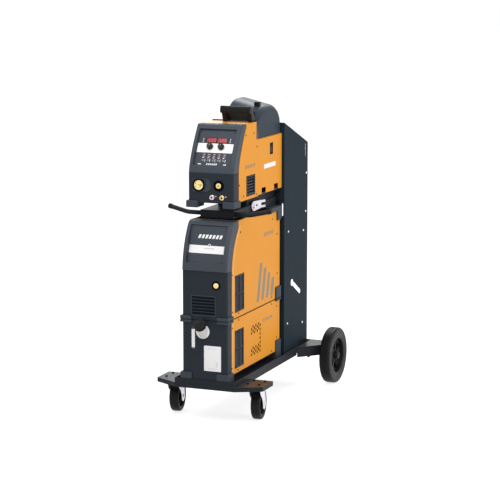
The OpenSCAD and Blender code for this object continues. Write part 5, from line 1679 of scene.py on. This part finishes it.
class WELDER_OT_source_inside(bpy.types.Operator):
    """Finish what the power source holds, and the fittings on its rear"""

    bl_idname = "welder.source_inside"
    bl_label = "Source's inside"

    def execute(self, context):
        machined("source_chassis", ["steel", "black"], 0.4, pick=self.fittings)
        machined("power_module", ["aluminium", "copper", "board", "steel"], 0.3, pick=self.module)
        machined("source_fan", ["black"], 0.4)
        machined("main_switch", ["black"], 1.2)
        return {"FINISHED"}

    def fittings(self, centre, normal):
        """The fan frame, the switch plate and the cord gland are black plastic."""
        rear, floor = box_of("source_case")[1].y, box_of("source_chassis")[0].z
        return 1 if centre.y > rear - 30 and centre.z > floor + 12 else 0

    def module(self, centre, normal):
        """Heat sink, windings, control board and laminated core."""
        base = box_of("power_module")[0].z
        board_rear, board_foot, sink_rear = 235, base + 218, 400
        coil_low, coil_high, coil_half = base + 26.2, base + 133.8, 44.2
        if centre.y < board_rear:
            return 2 if centre.z > board_foot else 3
        if centre.y < sink_rear:
            return 0
        core = centre.z < coil_low or centre.z > coil_high or abs(centre.x) > coil_half
        return 3 if core else 1


class WELDER_OT_side_marks(bpy.types.Operator):
    """Print the plain bars and the label on the side sheets"""

    bl_idname = "welder.side_marks"
    bl_label = "Side prints"

    def execute(self, context):
        half = box_of("cooler_case")[1].x
        for name, side in SIDES:
            place = sideways(half, side)
            bars = Form()
            self.emblem(bars, place, side)
            for y0, z0, z1 in ((492, 884, 904), (480, 437, 452), (236, 1264, 1283)):
                start = y0 if side > 0 else -y0 - 146
                slanted_row(bars, place, start, z0, z1, 11, 9, 7, 7)
            settle(bars.piece("side_bars_" + name, "emblem"), "cart", "orange_paint")
            trims = Form()
            self.trims(trims, place, side)
            settle(trims.piece("side_trims_" + name, "orange edge", "seam", "gusset"), "cart", "orange_paint")
        sticker = Form()
        film(sticker, soft_rect(494, 656, 1237.5, 1260.5, 2), sideways(half, 1))
        settle(sticker.piece("door_label", "white film"), "side_door", "orange_paint")
        return {"FINISHED"}

    def trims(self, form, place, side):
        """Painted highlight strip behind the front edge of the lower side sheets, and dark joint films round the
        sheets, partly painted gap shadow.
        """
        source, cooler, feeder = (box_of(n) for n in ("source_case", "cooler_case", "feeder_case"))
        lines = (
            source_bezel().rear_line(source[0].z, source[0].y, source[1].z - 26),
            [(cooler[0].y, cooler[0].z), (cooler[0].y, cooler[1].z)],
        )
        for line in lines:
            # Painted highlight strip, 6 to 30 mm behind the front line
            strip(form, place, side, line, 6, 30, 0)
            # Dark joint film, partly painted gap shadow
            strip(form, place, side, line, 0, 4.5, 1)
        feeder_line = feeder_bezel().rear_line(feeder[0].z, feeder[0].y, feeder[1].z - 14)
        strip(form, place, side, feeder_line, 0, 4.0, 1)
        # Dark film along the cooler's top edge: the gap under the power source with painted shadow
        joint = [(cooler[0].y + 40, cooler[1].z - 4), (cooler[0].y + 40, cooler[1].z)]
        strip(form, place, side, joint, 0, 560, 1)
        step = box_of("spool_hood")[0].y - 2
        base = hood_base()
        gusset = [(step - 9, base), (step + 23, base), (step + 1, base + 67), (step + 1, feeder[1].z),
                  (step - 9, feeder[1].z - 5)]
        film(form, mirrored(gusset, side), place, 2)

    def emblem(self, form, place, side):
        """Four broad slanted bars of falling height."""
        z0, bar, pitch = 556.0, 36, 64
        for i in range(4):
            y = 392 + i * pitch
            tall = 196 - 34 * i
            start = y if side > 0 else -y - bar
            film(form, slanted(start, start + bar, z0, z0 + tall, tall * 0.24), place)


# ---------- Feeder controls ----------
# Places on the panel: the buttons' pitch and height, and the knobs' height and distance from the middle
BUTTON_PITCH, BUTTON_UP = 27.5, 32
KNOB_X, KNOB_UP = 30, 106
# A digit's segments: place across, place up, and whether it is level
SEGMENTS = {
    "a": (0, 1, 1), "b": (1, 0.5, 0), "c": (1, -0.5, 0), "d": (0, -1, 1), "e": (-1, -0.5, 0), "f": (-1, 0.5, 0),
    "g": (0, 0, 1),
}
DIGITS = {"1": "bc", "6": "acdefg", "0": "abcdef", "8": "abcdefg", "5": "acdfg"}


def digit(form, place, character, width, height):
    """A seven-segment digit about the place's zero."""
    stroke, lean = 1.5, 0.1
    for name in DIGITS[character]:
        u, v, level = SEGMENTS[name]
        x, y = u * width / 2, v * height / 2
        long = (width if level else height / 2) / 2 - stroke * 0.45
        bar = [(-long, 0), (-long + stroke / 2, -stroke / 2), (long - stroke / 2, -stroke / 2), (long, 0),
               (long - stroke / 2, stroke / 2), (-long + stroke / 2, stroke / 2)]
        if not level:
            bar = [(-q, p) for p, q in bar]
        form.prism([(p + x + (y + q) * lean, q + y) for p, q in bar], 0.5, 0.8, 0, place)


class WELDER_OT_control_panel(bpy.types.Operator):
    """Finish the feeder's control panel with its displays, stripe, lamps and legends"""

    bl_idname = "welder.control_panel"
    bl_label = "Control panel"

    def execute(self, context):
        machined("control_panel", ["bezel"], 0.5)
        place = leaning(*CONTROL_POCKET)
        self.displays(place)
        self.prints(place)
        panel_screws("control_panel_screws", place, [(x, up) for x in (-92, 92) for up in (8, 188)])
        return {"FINISHED"}

    def displays(self, place):
        """Two red windows with three digits each."""
        windows, digits = Form(), Form()
        for centre, text in ((-29, "160"), (29, "185")):
            film(windows, soft_rect(centre - 26, centre + 26, 129.5, 153, 1.5), place, 0, 0.5)
            for i, character in enumerate(text):
                digit(digits, place @ at(centre - 16.5 + 16.5 * i, 141, 0), character, 8.6, 16)
        windows.block((-60, 127, -0.5), (60, 155.5, 0.25), 1, 0.2, place)
        settle(windows.piece("display_windows", "window", "black"), "cart", "front_plastic")
        settle(digits.piece("display_digits", "digit"), "cart", "front_plastic")

    def prints(self, place):
        """White stripe with dial marks, the lamps' legends, the buttons' icons and the lowest row."""
        white = Form()
        stripe = soft_rect(-98.5, 98.5, 74.5, 124, 0.5)
        film(white, stripe, place)
        for x in (-73, 72):
            for up in (132, 140, 148):
                film(white, soft_rect(x - 2.6, x + 2.6, up - 1.2, up + 1.8, 0.8), place)
        button_x = [i * BUTTON_PITCH for i in range(-2, 3)]
        for x in button_x:
            film(white, soft_rect(x - 6, x + 4, 44.5, 47, 0.8), place)
            film(white, soft_rect(x + 8.6, x + 10.6, 24, 40, 0.8), place)
        slanted_row(white, place, -34, 8, 16.5, 6, 4, 6, 3)
        film(white, soft_rect(-79, -62, 9.5, 14, 1), place)
        film(white, soft_rect(58, 74, 9.5, 14, 1), place)
        settle(white.piece("control_stripe", "white film"), "cart", "front_plastic")
        marks = Form()
        over = place @ at(0, 0, 0.3)
        for x in (-KNOB_X, KNOB_X):
            for k in range(11):
                spot = over @ at(x, KNOB_UP, 0) @ turned(150 - 30 * k)
                marks.prism(soft_rect(-0.5, 0.5, 18.2, 20.6, 0.3, 2), 0, 0.15, 1, spot)
        for x, up in ((-82, 114), (-82, 104), (-76, 86), (80, 112), (80, 104), (74, 86)):
            marks.prism(soft_rect(x - 6, x + 6, up - 1, up + 1, 0.6), 0, 0.15, 1, over)
        lamp_rows = (53.5, 64.5)
        for x in button_x:
            for up in lamp_rows:
                film(marks, soft_rect(x - 5, x + 7, up - 1.7, up + 1.7, 1), place)
        settle(marks.piece("control_marks", "mark", "line"), "cart", "front_plastic")
        lens = Form()
        lens.revolve([(0, 0), (1.7, 0), (1.6, 0.7), (0.9, 1.2), (0, 1.3)], 0, None, 12)
        points = on_panel(place, [(x - 8.5, up) for x in button_x for up in lamp_rows])
        made = grow("control_lamps", "Studs", "red lamp", points=points, form=lens, Scale=1.0)
        settle(made, "cart", "front_plastic")


class WELDER_OT_knobs(bpy.types.Operator):
    """Make the two setting knobs"""

    bl_idname = "welder.knobs"
    bl_label = "Knobs"

    def execute(self, context):
        for name, side in SIDES:
            body = "knob_" + name
            place = leaning(*CONTROL_POCKET) @ at(side * KNOB_X, KNOB_UP, 0)
            form = Form()
            form.revolve([(0, 0.7), (15.6, 0.7), (16.4, 1.4), (16.4, 3.6), (15.2, 4.6), (14.4, 15.6),
                          (13.9, 17.2), (12.8, 18.1), (11.6, 18.3), (10.8, 17.8), (0, 17.6)], 0, place, 64)
            form.revolve([(0, -5), (2.9, -5), (2.9, 1), (0, 1)], 0, place, 24)
            settle(form.piece(body + "_moulded", "gloss"), body, "black_plastic", body)
            flute = Form()
            flute.block((14.0, -0.7, 4.8), (15.5, 0.7, 15.8), 0, 0.5)
            grips = grow(body + "_grips", "Ring", "gloss", place, form=flute, Count=24)
            settle(grips, body, "black_plastic")
            line = Form()
            line.prism(soft_rect(-0.8, 0.8, 4, 10.4, 0.5, 2), 17.5, 17.9, 0, place, 0.1)
            settle(line.piece(body + "_pointer", "white film"), body, "black_plastic")
        return {"FINISHED"}


class WELDER_OT_buttons(bpy.types.Operator):
    """Make the five push buttons"""

    bl_idname = "welder.buttons"
    bl_label = "Buttons"

    def execute(self, context):
        for i in range(1, 6):
            name = "button_%d" % i
            place = leaning(*CONTROL_POCKET) @ at((i - 3) * BUTTON_PITCH, BUTTON_UP, 0)
            form = Form()
            form.revolve([(0, -4), (6.9, -4), (6.9, 2.0), (6.5, 2.9), (5.6, 3.3), (4.8, 3.1), (3.4, 2.8),
                          (0, 2.7)], 0, place, 40)
            settle(form.piece(name + "_cap", "button"), name, "grey_plastic", name)
        return {"FINISHED"}


# ---------- Hood, handle, door ----------
# Squareness of the hood's arch, at its rear and at its front
ARCH_POWERS = (3.6, 2.6)
HOOD_WALL = 2.8


class WELDER_OT_hood(bpy.types.Operator):
    """Make the hood over the wire spool"""

    bl_idname = "welder.hood"
    bl_label = "Spool hood"

    def execute(self, context):
        hood = self.shell()
        solid = hood.modifiers.new("wall", "SOLIDIFY")
        solid.thickness = HOOD_WALL * MM
        solid.offset = -1
        solid.use_even_offset = True
        bake_modifiers(hood)
        soften(hood, 0.7, 2, 50.0)
        settle(hood, "spool_hood", "hood_plastic", "spool_hood")
        self.fittings()
        return {"FINISHED"}

    def shell(self):
        """Outer skin: an arch that falls to the right, its sides rolled over."""
        low, high = box_of("spool_hood")
        base = hood_base()
        left, right = -56.0, high.x
        y0, y1 = low.y, high.y
        centre, reach = (y0 + y1) / 2, (y1 - y0) / 2
        tall, fall = 195.0, 42.0
        roll_left, roll_right = 13.0, 30.0
        start = [(left + roll_left * (1 - math.cos(math.radians(90 * i / 6))),
                  roll_left * (1 - math.sin(math.radians(90 * i / 6)))) for i in range(7)]
        middle_x = [left + roll_left + (right - roll_right - left - roll_left) * i / 6 for i in range(1, 6)]
        middle = [(x, 0.0) for x in middle_x]
        end = [(right - roll_right * (1 - math.sin(math.radians(90 * i / 10))),
                roll_right * (1 - math.cos(math.radians(90 * i / 10)))) for i in range(11)]
        columns = start + middle + end
        steps = 48

        def arch(x, drop, share=1.0):
            height = tall - fall * (x - left) / (right - left)
            a, h = (reach - min(drop, 6)) * share, (height - drop) * share
            points = []
            for i in range(steps + 1):
                t = math.pi * i / steps
                c, s = math.cos(t), math.sin(t)
                power = 2 / ARCH_POWERS[0 if c > 0 else 1]
                y = centre + a * math.copysign(abs(c) ** power, c)
                points.append((x, y, base + h * abs(s) ** power))
            return points

        left_cap = [arch(left, roll_left, share) for share in (0.02, 0.3, 0.55, 0.78, 0.92)]
        right_cap = [arch(right, roll_right, share) for share in (0.92, 0.78, 0.55, 0.3, 0.02)]
        rows = left_cap + [arch(x, drop) for x, drop in columns] + right_cap
        n = steps + 1
        points = [p for row in rows for p in row]
        faces = []
        for i in range(len(rows) - 1):
            faces += [(i * n + j, (i + 1) * n + j, (i + 1) * n + j + 1, i * n + j + 1) for j in range(steps)]
        faces += [tuple(range(n)), tuple(reversed(range(len(points) - n, len(points))))]
        mesh = bpy.data.meshes.new("spool_hood_moulded")
        mesh.from_pydata([to_row(*p) for p in points], [], faces)
        shape = bmesh.new()
        shape.from_mesh(mesh)
        sill = box_of("side_door")[1].z + 43.5
        edge_x = (left + 0.4 * roll_left) * MM
        cap_faces = [f for f in shape.faces if f.calc_center_median().x < edge_x]
        ring = list({e for f in cap_faces for e in f.edges}) + list({v for f in cap_faces for v in f.verts})
        bmesh.ops.bisect_plane(
            shape, geom=cap_faces + ring, plane_co=(0, 0, sill * MM), plane_no=(0, 0, 1), dist=1e-6
        )
        gone = [f for f in shape.faces
                if f.calc_center_median().x < edge_x and max(v.co.z for v in f.verts) < (sill + 0.01) * MM]
        bmesh.ops.delete(shape, geom=gone, context="FACES")
        bmesh.ops.recalc_face_normals(shape, faces=shape.faces)
        top = max(shape.faces, key=lambda f: f.calc_center_median().z)
        if top.normal.z < 0:
            bmesh.ops.reverse_faces(shape, faces=shape.faces)
        shape.to_mesh(mesh)
        shape.free()
        mesh.materials.append(finish("hood"))
        mesh.shade_smooth()
        return link("spool_hood_moulded", mesh)

    def fittings(self):
        """Finger tab, hinge knuckles with their pin, and the push stud on the right side."""
        _, high = box_of("spool_hood")
        form = Form()
        form.block((62, 504, high.z - 38), (92, 530, high.z - 15), 0, 3.0)
        form.block((64, 500.5, high.z - 19), (90, 512, high.z - 15), 0, 1.5)
        pin_x, pin_z = -61.0, box_of("side_door")[1].z + 43
        for y in (440, 680):
            barrel = facing(pin_x, y + 20, pin_z, (0, -1, 0))
            form.revolve([(0, 0), (3.9, 0), (3.9, 20), (0, 20)], 1, barrel, 32)
            form.revolve([(0, -19.5), (2.4, -19.5), (2.4, 1), (0, 1)], 1, barrel, 24)
            form.block((pin_x, y, pin_z - 0.2), (-53.2, y + 20, pin_z + 3.8), 1, 0.4)
        settle(form.piece("spool_hood_fittings", "black", "black"), "spool_hood", "black_plastic")
        stud = Form()
        stud.revolve([(0, 0), (9, 0), (9, 0.5), (8.2, 0.8), (6.6, 0.5), (6.2, 0.1), (0, 0.1)], 0,
                     facing(high.x - 0.2, 672, 1442, RIGHT), 32)
        settle(stud.piece("spool_hood_stud", "black"), "spool_hood", "black_plastic")


class WELDER_OT_handle(bpy.types.Operator):
    """Make the carrying handle"""

    bl_idname = "welder.handle"
    bl_label = "Carrying handle"

    def execute(self, context):
        low, high = box_of("carry_handle")
        y, z = low.y + 12, high.z - 12
        form = Form()
        bar = arc((y + 2, z), 12, -4, 188, 14) + arc((y, z - 14), 12, 184, 352, 14)
        form.prism(bar, low.x, high.x, 0, ACROSS, 5.0, steps=4)
        step, foot = high.y, low.z
        arm = [(y + 10, z - 28), (y + 26, foot), (step, foot), (step, foot + 16), (y + 20, z + 6),
               (y + 8, z + 9.4), (y - 11, z - 19)]
        for x in (low.x + 1.5, high.x - 25):
            form.prism(arm, x, x + 23.5, 0, ACROSS, 2.2, steps=2)
        settle(form.piece("carry_handle_moulded", "black"), "cart", "black_plastic", "carry_handle")
        back = Form()
        back.block((low.x + 2, step + 1, foot + 6), (high.x - 2, step + 2.4, foot + 50), 0, 0.5)
        settle(back.piece("handle_back", "front"), "cart", "front_plastic")
        return {"FINISHED"}


class WELDER_OT_side_door(bpy.types.Operator):
    """Finish the side door with its latch and hinge leaves"""

    bl_idname = "welder.side_door"
    bl_label = "Side door"

    def execute(self, context):
        machined("side_door", ["orange", "black"], 0.5, pick=self.latch_pocket)
        _, high = box_of("side_door")
        latch = Form()
        y0, z0 = 577, box_of("feeder_case")[0].z + 196
        latch.block((high.x - 8.5, y0 + 6, z0 + 8), (high.x - 1.2, y0 + 37, z0 + 40), 0, 2.0)
        latch.block((high.x - 8.5, y0 + 12, z0 + 42), (high.x - 3.0, y0 + 31, z0 + 54), 0, 1.5)
        settle(latch.piece("door_latch", "black"), "side_door", "black_plastic")
        return {"FINISHED"}

    def latch_pocket(self, centre, normal):
        """The latch pocket behind the sheet, and the hinge pins, are black."""
        behind = box_of("side_door")[1].x - 1.55
        latch_foot, hinge_top = 1290, 1150
        return 1 if centre.x < behind and (centre.z > latch_foot or centre.z < hinge_top) else 0


# ---------- Wire ----------
class WELDER_OT_spool(bpy.types.Operator):
    """Make the wire spool with its wound wire"""

    bl_idname = "welder.spool"
    bl_label = "Wire spool"

    def execute(self, context):
        low, high = box_of("wire_spool")
        centre = (low + high) / 2
        place = facing(low.x, centre.y, centre.z, RIGHT)
        width = high.x - low.x
        radius = (high.z - low.z) / 2
        spool, bore = Form(), 26.2
        for base in (0, width - 4):
            spool.revolve([(bore, base), (radius - 1.5, base), (radius, base + 1.2), (radius, base + 2.8),
                           (radius - 1.5, base + 4), (bore, base + 4)], 0, place, sizes().facets, closed=True)
        barrel = [(bore, 3.5), (60, 3.5), (60, width - 3.5), (bore, width - 3.5)]
        spool.revolve(barrel, 0, place, 64, closed=True)
        settle(spool.piece("wire_spool_moulded", "black"), "wire_spool", "wire", "wire_spool")
        core = Form()
        wound = [(60.5, 4.2), (radius - 27, 4.2), (radius - 27, width - 4.2), (60.5, width - 4.2)]
        core.revolve(wound, 0, place, sizes().facets, closed=True)
        settle(core.piece("wire_core", "copper"), "wire_spool", "wire")
        pitch = sizes().wire
        room = (width - 12) * MM
        values = {"Radius": (radius - 26.6) * MM, "Width": room, "Turns": float(round(room / pitch)),
                  "Wire Radius": pitch / 2}
        made = grow("wire_turns", "Winding", "copper", place @ at(0, 0, 6), **values)
        settle(made, "wire_spool", "wire")
        return {"FINISHED"}


class WELDER_OT_drive(bpy.types.Operator):
    """Finish the feeder's chassis and its wire drive"""

    bl_idname = "welder.drive"
    bl_label = "Wire drive"

    def execute(self, context):
        machined("feeder_chassis", ["steel", "black"], 0.4, pick=self.hub)
        machined("drive_unit", ["cast"], 0.8)
        machined("drive_roll", ["turned steel"], 0.4)
        machined("pressure_roll", ["turned steel"], 0.4)
        machined("pressure_arm", ["black"], 1.0)
        return {"FINISHED"}

    def hub(self, centre, normal):
        """The spool's hub, the pan's upper face and the door's hinges are black."""
        low, high = box_of("wire_spool")
        base = box_of("feeder_case")[0].z
        hinge = centre.x > 88 and centre.z < base + 30
        pan = normal.z > 0.9 and centre.z < base + 6
        hub = centre.x > low.x - 12 and centre.z > (low.z + high.z) / 2 - 50
        return 1 if hinge or pan or hub else 0


OPERATORS = (
    WELDER_OT_stage, WELDER_OT_cart_frame, WELDER_OT_column, WELDER_OT_cable_rest, WELDER_OT_lock_fork,
    WELDER_OT_bolts, WELDER_OT_castors, WELDER_OT_rear_wheels, WELDER_OT_cases, WELDER_OT_feeder_case,
    WELDER_OT_fronts, WELDER_OT_bezels, WELDER_OT_corner_feet, WELDER_OT_vents, WELDER_OT_screws,
    WELDER_OT_sockets, WELDER_OT_filler, WELDER_OT_cooler_inside, WELDER_OT_source_panel,
    WELDER_OT_source_inside, WELDER_OT_side_marks, WELDER_OT_control_panel, WELDER_OT_knobs, WELDER_OT_buttons,
    WELDER_OT_hood, WELDER_OT_handle, WELDER_OT_side_door, WELDER_OT_spool, WELDER_OT_drive,
)


class WELDER_PT_panel(bpy.types.Panel):
    """Shows the settings and the buttons that build the welder"""

    bl_idname = "WELDER_PT_panel"
    bl_label = "Welder"
    bl_space_type = "VIEW_3D"
    bl_region_type = "UI"
    bl_category = "Welder"

    def draw(self, context):
        for settings in (sizes(), colours(), context.scene.welder_stage):
            box = self.layout.box()
            for name in settings.__annotations__:
                box.prop(settings, name)
        for operator in OPERATORS:
            self.layout.operator(operator.bl_idname)


CLASSES = (WelderColours, WelderSizes, WelderStage, *OPERATORS, WELDER_PT_panel)


def register():
    for item in CLASSES:
        bpy.utils.register_class(item)
    bpy.types.Scene.welder_colours = PointerProperty(type=WelderColours)
    bpy.types.Scene.welder_sizes = PointerProperty(type=WelderSizes)
    bpy.types.Scene.welder_stage = PointerProperty(type=WelderStage)


def unregister():
    for name in ("welder_colours", "welder_sizes", "welder_stage"):
        delattr(bpy.types.Scene, name)
    for item in reversed(CLASSES):
        bpy.utils.unregister_class(item)


def main():
    """Builds every piece in order."""
    register()
    for operator in OPERATORS:
        group, name = operator.bl_idname.split(".")
        getattr(getattr(bpy.ops, group), name)()


if __name__ == "__main__":
    main()
